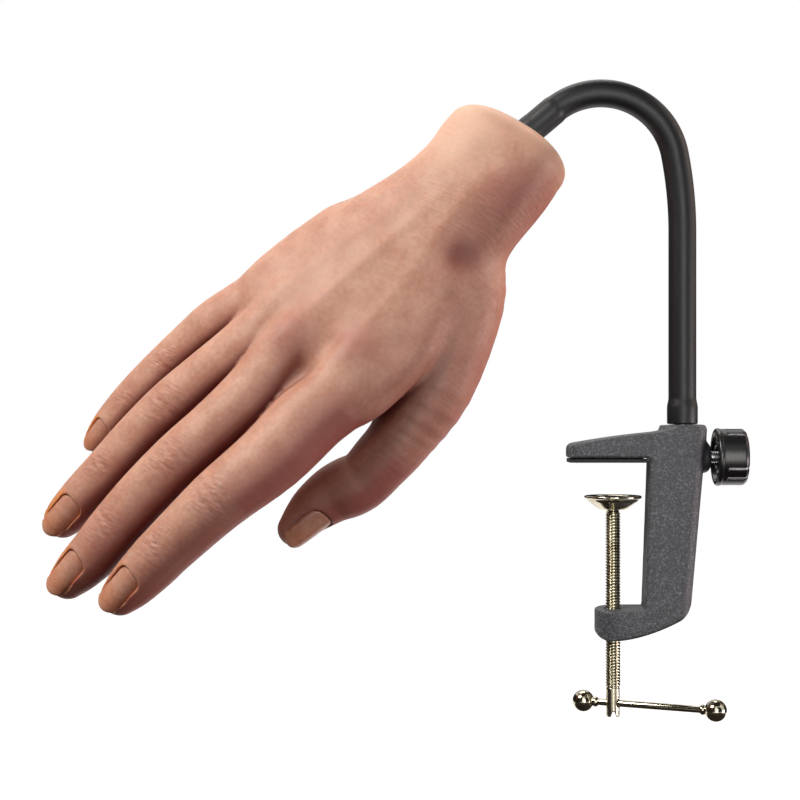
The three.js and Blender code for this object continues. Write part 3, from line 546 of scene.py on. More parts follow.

# ABS nail tips, moulded thin: flesh toned, satin, warmer to the free end, and darker on the thumb's side:
# that side is painted shade.
moulded_tip, tree, shader, _, lines = patterned("injection_moulded_abs_nail_tip", {
    "Roughness": 0.3, "IOR": 1.53, "Subsurface Weight": 0.2, "Subsurface Radius": (1.0, 0.4, 0.25),
    "Subsurface Scale": 0.0012}, (2.5, 3.0))
along = add(tree, "ShaderNodeAttribute", {"attribute_name": "along"}).outputs["Fac"]
across = add(tree, "ShaderNodeAttribute", {"attribute_name": "across"}).outputs["Fac"]
tone = add(tree, "ShaderNodeValToRGB", inputs={"Fac": along},
           stops=[(0.0, "#c99079"), (0.35, "#d49d86"), (0.8, "#d48d6d"), (1.0, "#db9f82")])
soft = add(tree, "ShaderNodeValToRGB", inputs={"Fac": lines}, stops=[(0.3, "#b9836d"), (0.7, "#d5a58e")])
blend = add(tree, "ShaderNodeMix", {"data_type": "RGBA"}, {"Factor": 0.15, "A": tone, "B": soft})
# Painted shade: the tip darkens towards the thumb's side.
painted_shade_side = add(tree, "ShaderNodeMix", {"data_type": "RGBA"},
             {"Factor": across, "A": blend.outputs["Result"], "B": linear("#9c5038")})
feed(shader, {"Base Color": painted_shade_side.outputs["Result"]})
surface(tree, shader, dull=(lines, 0.22, 0.34))

# Sizes, as in the model

SEAT_GAP = 0.3
CAST_DEPTH, CAST_EDGE, CAST_BACK_ROUND, CAST_JAW_ROUND = 17, 0.9, 4.8, 3
THROAT_HEIGHT, THROAT_CORNER = 50, 1.2
SPINE_DRAFT, LOWER_JAW_DRAFT = 0.5, 0.4
JAW_FACE, JAW_ROOT, JAW_TIP = 1.5, 9.6, 4.6
UPPER_JAW_REACH, LOWER_JAW_REACH, LOWER_JAW_HEIGHT, LOWER_JAW_CORNER = 15.5, 6.2, 10, 5
SPINE_INNER_TOP, SPINE_INNER_FOOT, SPINE_OUTER_TOP, SPINE_OUTER_FOOT = 11.6, 9.7, 31.3, 25.8
SOCKET_TOP, SOCKET_RIM, SOCKET_BOSS_RADIUS, SOCKET_BORE = 12.6, 0.6, 7.8, 3.1
SOCKET_BOSS_DEPTH, SOCKET_DEPTH = 9, 16
NECK_AXIS_X, NECK_RADIUS = 23.6, 4.7
LOCK_Z, LOCK_BOSS_RADIUS, LOCK_BOSS_END_X, LOCK_BORE = 1.7, 5.4, 33, 2.3
SCREW_RADIUS, SCREW_PITCH, SCREW_BORE, THREAD_DEPTH = 2.5, 1.0, 2.8, 0.5
SCREW_TOP, SCREW_HEAD_TOP, SCREW_END, SCREW_HEAD_RADIUS = -16.5, -76.5, -86.5, 2.3
SLIT_HALF, SLIT_DEPTH = 0.35, 1.9
PAD_TOP_Z, PAD_HEIGHT, PAD_RADIUS = -11.4, 4.8, 9.7
BAR_Z, BAR_RADIUS, BAR_BORE, BAR_YAW = -81.9, 1.15, 1.45, math.radians(-25)
BAR_LENGTH, BAR_START, BALL_RADIUS, BALL_INSET = 46, -10.5, 3.7, 0.1
KNOB_START_X, KNOB_RADIUS, KNOB_LENGTH = 34.6, 9.8, 10.4
# The knob's grooves: their places in degrees, half width, depth, and how far from its inner end they start.
KNOB_GROOVES, GROOVE_HALF, GROOVE_DEPTH, GROOVE_START = (9, 33, 114, 138, 231, 255), 0.75, 0.7, 3.2
LOCK_SCREW_RADIUS, LOCK_SCREW_START_X, LOCK_SCREW_LENGTH = 2.0, 26.7, 14.6
LOCK_SCREW_PITCH, LOCK_THREAD_DEPTH = 0.7, 0.3
NECK_STRAIGHT, NECK_END_STRAIGHT = 65.1, 20.5
SLOW_ARC = (140.0, math.radians(11))
TIGHT_ARC = (25.5, math.radians(119))
NECK_SECTIONS = 7
FOOT_SLEEVE = (5.2, 9.0)
TOP_SLEEVE = (5.1, 12.0)
HAND_ROLL = math.radians(25)
# Not in the model: its sections are plain. The sleeve widens by this much, this far from the wrist.
FERRULE_RISE, FERRULE_FROM_WRIST = 0.27, 22.5
neck_length = NECK_STRAIGHT + SLOW_ARC[0] * SLOW_ARC[1] + TIGHT_ARC[0] * TIGHT_ARC[1] + NECK_END_STRAIGHT


def neck_point(distance):
    """A point on the neck's centreline and its direction, by distance from the socket."""
    x, z, angle, left = NECK_AXIS_X, SOCKET_TOP + SEAT_GAP, math.pi / 2, distance
    for length, radius in ((NECK_STRAIGHT, None), (SLOW_ARC[0] * SLOW_ARC[1], SLOW_ARC[0]),
                           (TIGHT_ARC[0] * TIGHT_ARC[1], TIGHT_ARC[0]), (math.inf, None)):
        step = min(left, length)
        left -= step
        if radius is None:
            x += step * math.cos(angle)
            z += step * math.sin(angle)
            continue
        turn = step / radius
        x += radius * (math.sin(angle + turn) - math.sin(angle))
        z += radius * (math.cos(angle) - math.cos(angle + turn))
        angle += turn
    return np.array((x, 0.0, z)), np.array((math.cos(angle), 0.0, math.sin(angle)))


# Hand

wrist, fingers_way = neck_point(neck_length)
to_viewer = np.array((0.0, -1.0, 0.0))
thumb_flat = np.cross(to_viewer, fingers_way)
thumb_way = thumb_flat * math.cos(HAND_ROLL) + to_viewer * math.sin(HAND_ROLL)
back_way = np.cross(fingers_way, thumb_way)


def from_hand(points):
    """Points of the hand's own frame in the part's frame: along, to the thumb, above."""
    return wrist + points[:, :1] * fingers_way + points[:, 1:2] * thumb_way + points[:, 2:3] * back_way


# Centres of each digit from the palm to the tip: along, to the thumb, above, radius.
DIGITS = {
    "index": [(60, 17, -2, 11.5), (89, 26.6, 0, 13.1), (98, 29.9, 1, 13.1), (108, 30.5, 2, 12.9),
              (127, 33.4, 3, 12.0), (149.7, 33.3, 3.5, 10.6), (171.8, 32.9, 0, 9.5), (180.4, 32.8, -2, 9.2),
              (189.9, 32.8, -4, 8.3), (196.2, 32.6, -5.5, 6.8)],
    "middle": [(60, 5, 0, 11.5), (98, 8, 2, 12), (119.2, 11, 3, 10.8), (135.9, 11.4, 2, 10.2),
               (151.8, 11.4, 0.8, 10.2), (168.7, 11.6, -1.5, 9.9), (184.9, 12.6, -4.5, 9.5),
               (193.7, 13.3, -6.5, 9.1), (202.3, 13.5, -8, 8.2), (208.7, 13.3, -9.5, 6.7)],
    "ring": [(62, -7, -1, 11), (97, -5.5, 1, 10.6), (116.1, -6.6, 0, 9.8), (131.1, -8.7, -2.5, 9.4),
             (145.3, -9.5, -4, 9.3), (160.2, -9.8, -6.5, 8.9), (175.1, -9.1, -9.5, 8.8),
             (187.1, -9.2, -12, 8.3), (195.4, -9.2, -14, 7.7), (199.4, -9.3, -15, 6.8)],
    "little": [(62, -17, -3, 10), (95, -19.7, -3.5, 9.7), (112.6, -23.1, -5, 9.5), (122.1, -24.9, -7.5, 9.1),
               (136.7, -26.3, -10.5, 8.4), (151.1, -26.3, -12.5, 8.0), (163, -26.3, -15.5, 7.4),
               (169, -26.6, -17.5, 6.5), (173.2, -26.8, -19, 5.4)],
    "thumb": [(24, 12.3, -4, 11.2), (34, 18.6, -8.3, 12.2), (45.6, 27.2, -13, 14.7), (70, 40.9, -18, 14.1),
              (90, 47.6, -20, 11.3), (101, 49.3, -21, 10.5), (109.4, 50.0, -22, 10.1),
              (114.5, 48.7, -22, 10.5), (120.1, 47.0, -22, 9.8), (127.4, 46.5, -21.5, 8.5),
              (132.7, 46.9, -21.5, 7.3), (138.0, 47.8, -21.5, 5.9)],
}
# Nails: width, length, turn towards the thumb in degrees, how far the plate lies under the skin at its
# root, how wide the groove is beside it, and how strong the painted glow is on the thin flesh beside that.
NAILS = {"index": (9.4, 17.2, 7, 0.6, 0.45, 0.4), "middle": (9.4, 17, 3, 0.6, 0.4, 0.8),
         "ring": (9.0, 16.4, 18, 0.6, 0.4, 0.95), "little": (7.2, 13, 9, 0.5, 0.3, 0.95),
         "thumb": (10.5, 16, 66, 0.4, 0.15, 0.0)}
NAIL_THICKNESS = 0.7
NAIL_CREVICE, NAIL_TAPER, NAIL_CORNER = 0.22, 0.12, 0.34
# Palm sections: along, little side, thumb side, half thickness, height of the middle.
PALM = [(0, -22.3, 21.5, 17.5, -1), (8, -21.3, 24.2, 17.5, -1), (18, -19.3, 26.2, 17, -1.5),
        (32, -19.9, 27.2, 15.5, -2), (48, -23.4, 34, 14.5, -2.5), (66, -26.4, 41.8, 13.6, -2),
        (84, -28.4, 44.3, 12.6, -1.5), (95, -27.9, 43.8, 11.8, -1), (103, -25, 40, 9.5, -1)]
PALM_END = 107
WRIST_SKEW = 0.2
FLATNESS = 0.94
# How far round a digit its distance is worked out, for the blends with its neighbours.
BLEND_REACH = 9.0
hand_grid = Grid((-23, -42, -42), (216, 64, 24), 0.55)


def digit_field(grid, rows):
    """Distance to a digit's flesh: a chain of tapering bars through its joints."""
    line = flow(rows, 4)
    field = np.full(grid.shape, 30.0, np.float32)
    for a, b in zip(line[:-1], line[1:]):
        radius = max(a[3], b[3]) + BLEND_REACH
        window = grid.window(np.minimum(a[:3], b[:3]) - radius, np.maximum(a[:3], b[:3]) + radius)
        field[window] = np.minimum(field[window], bar_distance(a, b, *grid.points(window)))
    return field


def bar_distance(a, b, x, y, z):
    """Distance to one tapering bar, a little flatter than it is wide."""
    way = b[:3] - a[:3]
    share = np.clip(((x - a[0]) * way[0] + (y - a[1]) * way[1] + (z - a[2]) * way[2]) / (way @ way), 0, 1)
    across = (x - a[0] - share * way[0]) ** 2 + (y - a[1] - share * way[1]) ** 2
    up = (z - a[2] - share * way[2]) / FLATNESS
    return np.sqrt(across + up * up) - (a[3] + share * (b[3] - a[3]))


def palm_field(grid):
    """Distance to the palm's flesh: rounded sections from the cut wrist to the knuckles."""
    rows = flow(PALM, 12)
    x, y, z = grid.points()
    along = (x + WRIST_SKEW * y) / np.maximum(1 + WRIST_SKEW * y / 30, 0.4)
    along = np.where(along < 30, along, np.maximum(x, 30))
    little, thumb, half, middle = (np.interp(along, rows[:, 0], rows[:, c]) for c in (1, 2, 3, 4))
    wide = (thumb - little) / 2
    a, b = np.abs((y - (thumb + little) / 2) / wide), np.abs((z - middle) / half)
    power = 2.4
    level = np.maximum((a ** power + b ** power) ** (1 / power), 1e-3)
    slope = np.hypot(a ** (power - 1) / wide, b ** (power - 1) / half) * level ** (1 - power)
    side = (level - 1) / np.maximum(slope, 0.02)
    cut = -(along + 5.2 + 4.8 * (1 - np.minimum(level, 1) ** 2))
    return np.clip(soft_max(soft_max(side, cut, 7), along - PALM_END, 10), -30, 30).astype(np.float32)


def chain_distance(rows, points):
    """Distance from each point to a digit's flesh."""
    line = flow(rows, 4)
    return np.min([bar_distance(a, b, *points.T) for a, b in zip(line[:-1], line[1:])], axis=0)


class Nail:
    """A nail's own frame: s from its root along it, t towards the thumb, h above."""

    def __init__(self, name):
        self.rows = np.array(DIGITS[name])
        self.width, self.length, turn, sink, self.wall, self.glow = NAILS[name]
        way = self.rows[-1, :3] - self.rows[-3, :3]
        way /= np.linalg.norm(way)
        side = np.cross((0, 0, 1), way)
        side /= np.linalg.norm(side)
        up = np.cross(way, side)
        angle = -math.radians(turn)
        self.way = way
        self.side = side * math.cos(angle) + up * math.sin(angle)
        self.up = up * math.cos(angle) - side * math.sin(angle)
        self.root = self.rows[-1, :3] + way * (self.rows[-1, 3] - 0.4 - self.length)
        low, high = self.skin_height(0.0), self.skin_height(0.62 * self.length)
        self.start = low - sink
        self.slope = (high - 0.1 - self.start) / (0.62 * self.length)
        self.curve = 0.012
        self.round = 0.5 * self.width + 2.2

    def skin_height(self, s):
        """How far the flesh reaches above the middle line at a distance from the root."""
        heights = np.linspace(0, 16, 320)
        points = self.root + self.way * s + heights[:, None] * self.up
        inside = chain_distance(self.rows, points) < 0
        return heights[inside].max() if inside.any() else 0.0

    def height(self, s, t):
        """The plate's top over its own plan."""
        drop = self.round - np.sqrt(np.maximum(self.round ** 2 - np.square(t), 1.0))
        return self.start + self.slope * s - self.curve * np.maximum(s - 0.55 * self.length, 0) ** 2 - drop

    def plan(self, s, t):
        """Distance in plan to the pocket's wall, negative inside; the pocket is open at the tip."""
        t = t / (1 - NAIL_TAPER * rises(s, 0, self.length))
        left, right = -self.width / 2 - self.wall, self.width / 2 + NAIL_CREVICE
        corner = NAIL_CORNER * self.width
        across = np.abs(t - (left + right) / 2) - ((right - left) / 2 - corner)
        back = corner - NAIL_CREVICE - s
        return (np.hypot(np.maximum(across, 0), np.maximum(back, 0)) + np.minimum(np.maximum(across, back), 0)
                - corner)

    def local(self, x, y, z):
        dx, dy, dz = x - self.root[0], y - self.root[1], z - self.root[2]
        return tuple(dx * w[0] + dy * w[1] + dz * w[2] for w in (self.way, self.side, self.up))

    def plate(self):
        """The tip itself: a curved plate with rounded edges, its free end a soft arc."""
        ns, nt = 36, 25
        share = np.linspace(0, 1, ns)[:, None]
        turn = np.linspace(-1, 1, nt)[None, :]
        s = share * (self.length - 2.2 * turn ** 2)
        corner = NAIL_CORNER * self.width
        half = self.width / 2 - corner + np.sqrt(np.maximum(corner ** 2 - np.maximum(corner - s, 0) ** 2, 0))
        t = turn * half * (1 - NAIL_TAPER * share)
        rim = np.maximum(np.abs(turn), np.abs(2 * share - 1)) + 0 * turn
        soft = 0.16 * rises(rim, 0.9, 1.0) ** 2
        top = self.height(s, t) - soft
        bottom = self.height(s, t) - NAIL_THICKNESS
        layers = [self.root + s[..., None] * self.way + t[..., None] * self.side + h[..., None] * self.up
                  for h in (top, bottom)]
        points = np.concatenate([layer.reshape(-1, 3) for layer in layers])
        at = np.arange(ns * nt).reshape(ns, nt)
        faces = [(at[i, j], at[i + 1, j], at[i + 1, j + 1], at[i, j + 1])
                 for i in range(ns - 1) for j in range(nt - 1)]
        faces += [tuple(v + ns * nt for v in reversed(face)) for face in faces]
        edge = list(at[:, 0]) + list(at[-1, 1:]) + list(at[-2::-1, -1]) + list(at[0, -2:0:-1])
        for a, b in zip(edge, edge[1:] + edge[:1]):
            faces.append((b, a, a + ns * nt, b + ns * nt))
        along, across = (np.tile(values.ravel(), 2) for values in np.broadcast_arrays(share, turn))
        return points, [tuple(int(v) for v in face) for face in faces], along, across


def field_at(field, grid, points):
    """The field's value at any points, read between the cells."""
    place = (points - grid.low) / grid.cell
    low = np.clip(np.floor(place).astype(int), 0, np.array(field.shape) - 2)
    share = np.clip(place - low, 0, 1)
    total = np.zeros(len(points))
    for corner in ((i, j, k) for i in (0, 1) for j in (0, 1) for k in (0, 1)):
        weight = np.prod(np.where(corner, share, 1 - share), axis=1)
        total += weight * field[tuple((low + corner).T)]
    return total


nails = {name: Nail(name) for name in NAILS}
flesh = {}
for name, rows in DIGITS.items():
    flesh[name] = digit_field(hand_grid, rows)
    tip = np.array(rows[-1][:3])
    window = hand_grid.window(tip - 22, tip + 14)
    x, y, z = hand_grid.points(window)
    nail = nails[name]
    s, t, h = nail.local(x, y, z)
    floor_height = nail.height(s, t) - NAIL_THICKNESS - 0.3
    pocket = soft_max(nail.plan(s, t), floor_height - h, 0.3)
    flesh[name][window] = soft_max(flesh[name][window], -pocket, 0.5)
x, y, z = hand_grid.points()
web = 5 * rises(x, 112, 96) + 0.25
fingers = flesh["little"]
for name in ("ring", "middle", "index"):
    fingers = soft_min(fingers, flesh[name], web)
hand = soft_min(palm_field(hand_grid), fingers, 6 * rises(x, 104, 74) + 1)
hand = soft_min(hand, flesh["thumb"], 6 * rises(x, 78, 52) + 0.5)
mouth = np.hypot(y, z) - (TOP_SLEEVE[0] + 0.4)
hand = np.where(x < 6, soft_max(hand, -mouth + 0 * x, 1.2), hand)
points, quads = skin_of(hand, hand_grid)
points = eased(points, quads, 2)

# Relief of the back: knuckles, cords and hollows as [along, to the thumb, half length, half width, rise].
RELIEF = [
    (97, 5, 8, 7, 2.0), (84, 27, 8, 7, 1.5), (92, -9, 7, 6, 0.8), (86, -21, 7, 5.5, 0.8),
    (101, 19.5, 9, 4, -1.7), (99, -1.5, 7, 3, -0.7), (95, -15, 7, 3, -0.7), (72, 33, 8, 6, -0.9),
    (88, 20, 4, 3, -0.5), (27, 20, 11, 5, -1.0), (37, 24, 5, 4, -1.0), (8, 4, 12, 9, -0.8),
    (150, 33, 8, 7, 0.5), (152, 11.5, 8, 7, 0.5), (143, -9.5, 7, 6, 0.4), (137, -26, 6, 5, 0.4),
]
# Cords from the knuckles towards the wrist: both ends, and the rise of each.
CORDS = [((80, 25), (12, 8), 0.35), ((93, 5), (12, 3), 0.35), ((88, -9), (12, -2), 0.25),
         ((80, -20), (14, -6), 0.2)]
# Creases over the joints: along, to the thumb, half length, depth; each slants a little.
CREASES = [
    (146.5, 33, 7, 0.22), (149.5, 33, 8, 0.35), (153, 33, 7, 0.25), (174, 32.5, 6, 0.3), (177, 32.5, 6, 0.3),
    (149, 11, 7, 0.25), (152.5, 11, 8, 0.35), (156, 11, 7, 0.3), (160, 11, 5, 0.2), (184, 12, 6, 0.3),
    (187, 12, 6, 0.25), (141, -9.5, 6, 0.25), (145, -9.5, 7, 0.35), (149, -9.5, 6, 0.25), (175, -9.5, 5, 0.3),
    (178, -9.5, 5, 0.25), (134, -25, 5, 0.25), (138, -25, 5, 0.3), (156, -25.5, 4, 0.25),
]
CORD_WIDTH, CREASE_WIDTH, FOLD_REACH = 2.6, 0.75, 4.5
ahead = normals_of(points, quads)
to_thumb, above = ahead[:, 1], ahead[:, 2]
x, y, z = points.T
rise, fold, crease = np.zeros((3, len(points)))
for *place, lift in RELIEF:
    rise += lift * spot(x, y, *place)
for (ax, ay), (bx, by), lift in CORDS:
    side = y - (ay + rises(x, ax, bx) * (by - ay))
    rise += lift * bump(side, CORD_WIDTH) * np.sin(math.pi * rises(x, ax + 6, bx))
for ax, ay, half, deep in CREASES:
    wave = 0.5 * np.sin(y * 1.1 + ax) + 0.35 * np.sin(y * 2.3 + 2 * ax)
    reach = np.clip(1.2 - np.abs(y - ay) / half, 0, 1)
    crease += deep * bump(x - ax - wave, CREASE_WIDTH) * reach
    fold = np.maximum(fold, bump(x - ax, FOLD_REACH) * reach)
points = points + ahead * (rise * rises(above, 0, 0.625) - crease * rises(above, 0.25, 0.75))[:, None]

# Colour: flushed knuckles and tips, a darker patch over the wrist, and painted shade: mauve on the sides that
# face the thumb or the palm's way and over the thumb, darker where parts of the hand face each other. Redder
# places as [along, to the thumb, half length, half width, strength]; the one over the hollow by the thumb is
# painted shade.
REDDER_PLACES = [(96, 8, 9, 8, 0.45), (82, 25, 7, 7, 0.45), (37, 24, 8, 7, 0.4), (13, 20, 17, 7, 0.65)]
FINGERS_START = 92
# Painted shade: darker where another part of the hand lies close in front of the skin.
shade = np.zeros(len(points))
for reach, weight in ((2.5, 0.25), (5.0, 0.4), (9.0, 0.35)):
    shade += weight * (1 - rises(field_at(hand, hand_grid, points + ahead * reach), 0, reach))
flush_and_shade = 0.2 * rises(x, 165, 195) + 0.2 * fold + 0.35 * rises(y, 30, 50) * (x < 145)
flush_and_shade += 0.55 * rises(to_thumb, 0.1, 0.7) * rises(x, FINGERS_START, FINGERS_START + 8)
flush_and_shade += 0.55 * rises(-above, -0.35, 0.55)
for *place, strength in REDDER_PLACES:
    flush_and_shade += strength * spot(x, y, *place)
# Painted glow: orange on the thin flesh beside each nail and inside its pocket, where the painted shade is
# lightened.
glow = np.zeros(len(points))
for nail in nails.values():
    s, t, h = nail.local(x, y, z)
    plan = nail.plan(s, t)
    beside = rises(plan, 2.2, 1.4) * rises(-t, nail.width / 2 - 1, nail.width / 2) * rises(s, -1.5, 1.5)
    near = (s < nail.length + 1) & (np.abs(h - nail.height(s, t)) < 3.5)
    pocket = near & (plan < 0.3) & (nail.glow > 0)
    glow = np.maximum(glow, np.maximum(near * beside * nail.glow, 0.45 * pocket))
    shade *= 1 - 0.7 * pocket
# More painted shade on the fingers' thumb sides, and in the hollow by the thumb.
shade += 0.06 * np.clip(to_thumb - 0.25, 0, 1) * (x > FINGERS_START)
shade += 0.5 * spot(x, y, 36, 23.5, 6, 4.5) * (above > 0)
# Painted light: a bright rim along the cut wrist, and the skin by it paler on the little finger's side, where
# light falls.
rim_glow = 0.85 * bump(x + 7.5 + WRIST_SKEW * y, 6) * rises(y, -8, 6)
painted_light_amount = np.maximum(rim_glow, 0.6 * rises(x, 34, 12) * rises(y, 12, -2))
skin = piece("hand_cast", from_hand(points), quads.tolist(), cast_silicone, "hand", "skin_silicone",
             ["hand_skin"], smooth=0)
# Marks: the flush is real blush and painted shade; the depth is painted shade; the glow and the paleness are
# painted light.
mark(skin, blush=np.clip(flush_and_shade, 0, 0.85), depth=np.clip(shade * 1.05 - 0.12, 0, 0.9), ochre=glow, pale=painted_light_amount,
     folds=np.maximum(fold, 0.4 * rises(x, 80, 40)))
hand_place = skin.data.attributes.new("hand_place", "FLOAT_VECTOR", "POINT")
hand_place.data.foreach_set("vector", (points * MM).astype(np.float32).ravel())

for name, nail in nails.items():
    points, faces, along, across = nail.plate()
    tip = piece(f"nail_tip_{name}", from_hand(points), faces, moulded_tip, "hand", "nail_acrylic",
                [f"nail_{name}"], smooth=50)
    # The across mark is painted shade, towards the thumb's side of the tip.
    mark(tip, along=along, across=0.6 * rises(across, -0.1, 1) ** 1.5)

# Neck

first_pivot = FOOT_SLEEVE[1] + NECK_RADIUS
last_pivot = neck_length - TOP_SLEEVE[1] - NECK_RADIUS
pivots = [first_pivot + (last_pivot - first_pivot) * k / NECK_SECTIONS for k in range(NECK_SECTIONS + 1)]
seams = [first_pivot - NECK_RADIUS] + [(a + b) / 2 for a, b in zip(pivots[:-1], pivots[1:])]
seams.append(last_pivot + NECK_RADIUS)


def sleeve_radius(distance):
    """The sleeve is a little wider where it is pushed over the stud's ferrule, near the wrist."""
    start = neck_length - FERRULE_FROM_WRIST
    return NECK_RADIUS + FERRULE_RISE * float(rises(distance, start, start + 1.8))


def ring_at(distance, radius, sides=48):
    """A ring square to the neck's centreline."""
    at, way = neck_point(distance)
    out = np.cross(way, (0, 1, 0))
    angles = np.arange(sides) * 2 * math.pi / sides
    return [at + radius * (math.cos(a) * out + math.sin(a) * np.array((0, 1, 0))) for a in angles]


for k, (start, end) in enumerate(zip(seams[:-1], seams[1:])):
    steps = max(4, int((end - start) / 0.7))
    places = [start + (end - start) * i / steps for i in range(steps + 1)]
    rings = [ring_at(distance, sleeve_radius(distance)) for distance in places]
    tube = piece(f"neck_sleeve_{k + 1}", *ringed(rings), sleeve_rubber, None, "neck_rubber",
                 [f"neck_section_{k}"] if k else [])
    a, b = neck_point(start)[0] * MM, neck_point(end)[0] * MM
    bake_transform(tube)

# Sleeve ends: the hose's skin is pushed over a collar at the foot and over the stud at the wrist.
collar = FOOT_SLEEVE[0]
foot_profile = rounded([
    (0, 0), (collar - 0.3, 0), (collar, 0.4), (collar, FOOT_SLEEVE[1] - 3.0),
    (NECK_RADIUS, FOOT_SLEEVE[1] - 0.4), (NECK_RADIUS, FOOT_SLEEVE[1] + 0.4), (0, FOOT_SLEEVE[1] + 0.4)],
    0.6, 4)
foot_seat = (NECK_AXIS_X, 0, SOCKET_TOP + SEAT_GAP)
piece("neck_foot_end", *turned(foot_profile, foot_seat, sides=64), sleeve_rubber, "neck_foot", "neck_rubber",
      ["neck_foot_sleeve"])
top_rings = [ring_at(distance, TOP_SLEEVE[0] - less) for distance, less in (
    (seams[-1] - 0.4, 0.08), (seams[-1], 0.05), (seams[-1] + 1.6, 0), (neck_length - 3.0, 0),
    (neck_length - 2.4, 0.5))]
piece("neck_top_end", *ringed(top_rings), sleeve_rubber, "neck_top", "neck_rubber", ["neck_top_sleeve"])

# Clamp casting: the side outline swept through the depth, with rounded edges, bosses and bores.

foot_z = -THROAT_HEIGHT - LOWER_JAW_HEIGHT
rim_z = SOCKET_TOP - SOCKET_RIM
throat = -THROAT_HEIGHT
side_line = [(-UPPER_JAW_REACH, JAW_FACE)]
# Round the throat, under the lower jaw, up the spine and back along the upper jaw. Each row: steps, then the
# control points of a curve from the last row's end, or one point at the end of a straight.
for steps, *ahead_points in (
        (1, (SPINE_INNER_TOP - THROAT_CORNER, JAW_FACE)),
        (4, (SPINE_INNER_TOP, JAW_FACE), (SPINE_INNER_TOP, JAW_FACE - THROAT_CORNER)),
        (1, (SPINE_INNER_FOOT, throat + THROAT_CORNER)),
        (4, (SPINE_INNER_FOOT, throat), (SPINE_INNER_FOOT - THROAT_CORNER, throat)),
        (1, (-LOWER_JAW_REACH + 1.2, throat)),
        (4, (-LOWER_JAW_REACH, throat), (-LOWER_JAW_REACH, throat - 1.2)),
        (1, (-LOWER_JAW_REACH, foot_z + LOWER_JAW_CORNER * 0.8)),
        (8, (-LOWER_JAW_REACH, foot_z), (-LOWER_JAW_REACH + LOWER_JAW_CORNER, foot_z)),
        (12, (5.9, foot_z), (15, foot_z + 3), (22.2, throat - 3)),
        (8, (SPINE_OUTER_FOOT, throat), (SPINE_OUTER_FOOT + 0.4, throat + 4)),
        (1, (SPINE_OUTER_TOP, rim_z - 1.5)),
        (4, (SPINE_OUTER_TOP, rim_z), (SPINE_OUTER_TOP - 1.5, rim_z)),
        (1, (NECK_AXIS_X - 0.5, rim_z)),
        (10, (NECK_AXIS_X - 4, rim_z - 0.2), (NECK_AXIS_X - 6, rim_z - 1.4),
         (SPINE_INNER_TOP + 1, rim_z - 1.9)),
        (8, (0, JAW_FACE + JAW_ROOT - 2.2), (-UPPER_JAW_REACH + 2.3, JAW_FACE + JAW_TIP + 0.4)),
        (5, (-UPPER_JAW_REACH, JAW_FACE + JAW_TIP), (-UPPER_JAW_REACH, JAW_FACE + JAW_TIP - 2.3))):
    side_line += curve([side_line[-1], *ahead_points], steps)
cast_grid = Grid((-17.5, -10.5, foot_z - 2), (35, 10.5, SOCKET_TOP + 2), 0.4)
x, y, z = cast_grid.points()
outline = outline_distance(side_line, x[:, :, 0], z[0])[:, None, :]
outer = np.interp(z, (throat, rim_z), (SPINE_OUTER_FOOT, SPINE_OUTER_TOP))
half = CAST_DEPTH / 2
casting = round_max(outline, np.abs(y) - half, CAST_EDGE)
casting = np.maximum(casting, round_max(x - outer + 0 * y, np.abs(y) - half, CAST_BACK_ROUND))
upper = round_max(-UPPER_JAW_REACH - x, np.abs(y) - half, CAST_JAW_ROUND)
lower = round_max(-LOWER_JAW_REACH - x, np.abs(y) - half, half - 0.6)
casting = np.maximum(casting, np.where(z < throat + 8, lower, upper))
# The spine's inner face is drafted: the throat opens towards the back, where the casting left its die.
face = np.interp(z, (throat, JAW_FACE), (SPINE_INNER_FOOT, SPINE_INNER_TOP)) + SPINE_DRAFT * (1 + y / half)
in_throat = np.maximum(throat - z, z - JAW_FACE) + 0 * y
casting = soft_max(casting, -round_max(x - face, in_throat, THROAT_CORNER), 0.3)
slope = round_max(z - throat - LOWER_JAW_DRAFT * (1 + y / half), lower, 0.8)
casting = np.minimum(casting, np.maximum(slope, np.maximum(x - SPINE_INNER_FOOT - 3, throat - 3 - z)))
boss = round_max(np.hypot(x - NECK_AXIS_X, y) - SOCKET_BOSS_RADIUS, z - SOCKET_TOP, 0.7)
boss = np.maximum(boss, SOCKET_TOP - SOCKET_BOSS_DEPTH - z)
casting = soft_min(casting, boss, 1.6)
lock_boss = round_max(np.hypot(y, z - LOCK_Z) - LOCK_BOSS_RADIUS, x - LOCK_BOSS_END_X, 2.4)
casting = soft_min(casting, np.maximum(lock_boss, NECK_AXIS_X - x), 1.0)
for from_axis, past_end, edge in (
        (np.hypot(x - NECK_AXIS_X, y) - SOCKET_BORE, SOCKET_TOP - SOCKET_DEPTH - z, 0.5),
        (np.hypot(y, z - LOCK_Z) - LOCK_BORE, NECK_AXIS_X - x, 0.5),
        (np.hypot(x, y) - SCREW_BORE, z - throat - 5, 0.4)):
    casting = soft_max(casting, -np.maximum(from_axis, past_end), edge)
points, quads = skin_of(casting, cast_grid)
points = eased(points, quads, 1)
piece("clamp_casting", points, quads.tolist(), powder_coat, "clamp", "clamp_paint", ["clamp_frame"], smooth=0)

# Clamp screw: a rolled thread, then a plain head drilled for the bar and slit at its end.
FLANK_RISE = 1.67


def thread_body(radius, pitch, depth, low, high, sides, per_turn):
    """A threaded bar as rings whose radius follows the thread's turn; it fades out at both ends."""
    rows = int((high - low) / pitch * per_turn)
    rings = []
    angles = np.arange(sides) * 2 * math.pi / sides
    for r in range(rows + 1):
        height = low + (high - low) * r / rows
        turn = (height / pitch - angles / (2 * math.pi)) % 1
        # The crest is flat over 0.4 of the pitch, wider than the real one so that it catches the light.
        crest = np.clip(FLANK_RISE * (1 - np.abs(2 * turn - 1)), 0, 1)
        fade = np.clip(min(height - low, high - height) / (0.8 * pitch), 0, 1)
        reach = radius - depth * (1 - crest * fade)
        rings.append(np.stack([reach * np.cos(angles), reach * np.sin(angles), np.full(sides, height)], 1))
    return rings


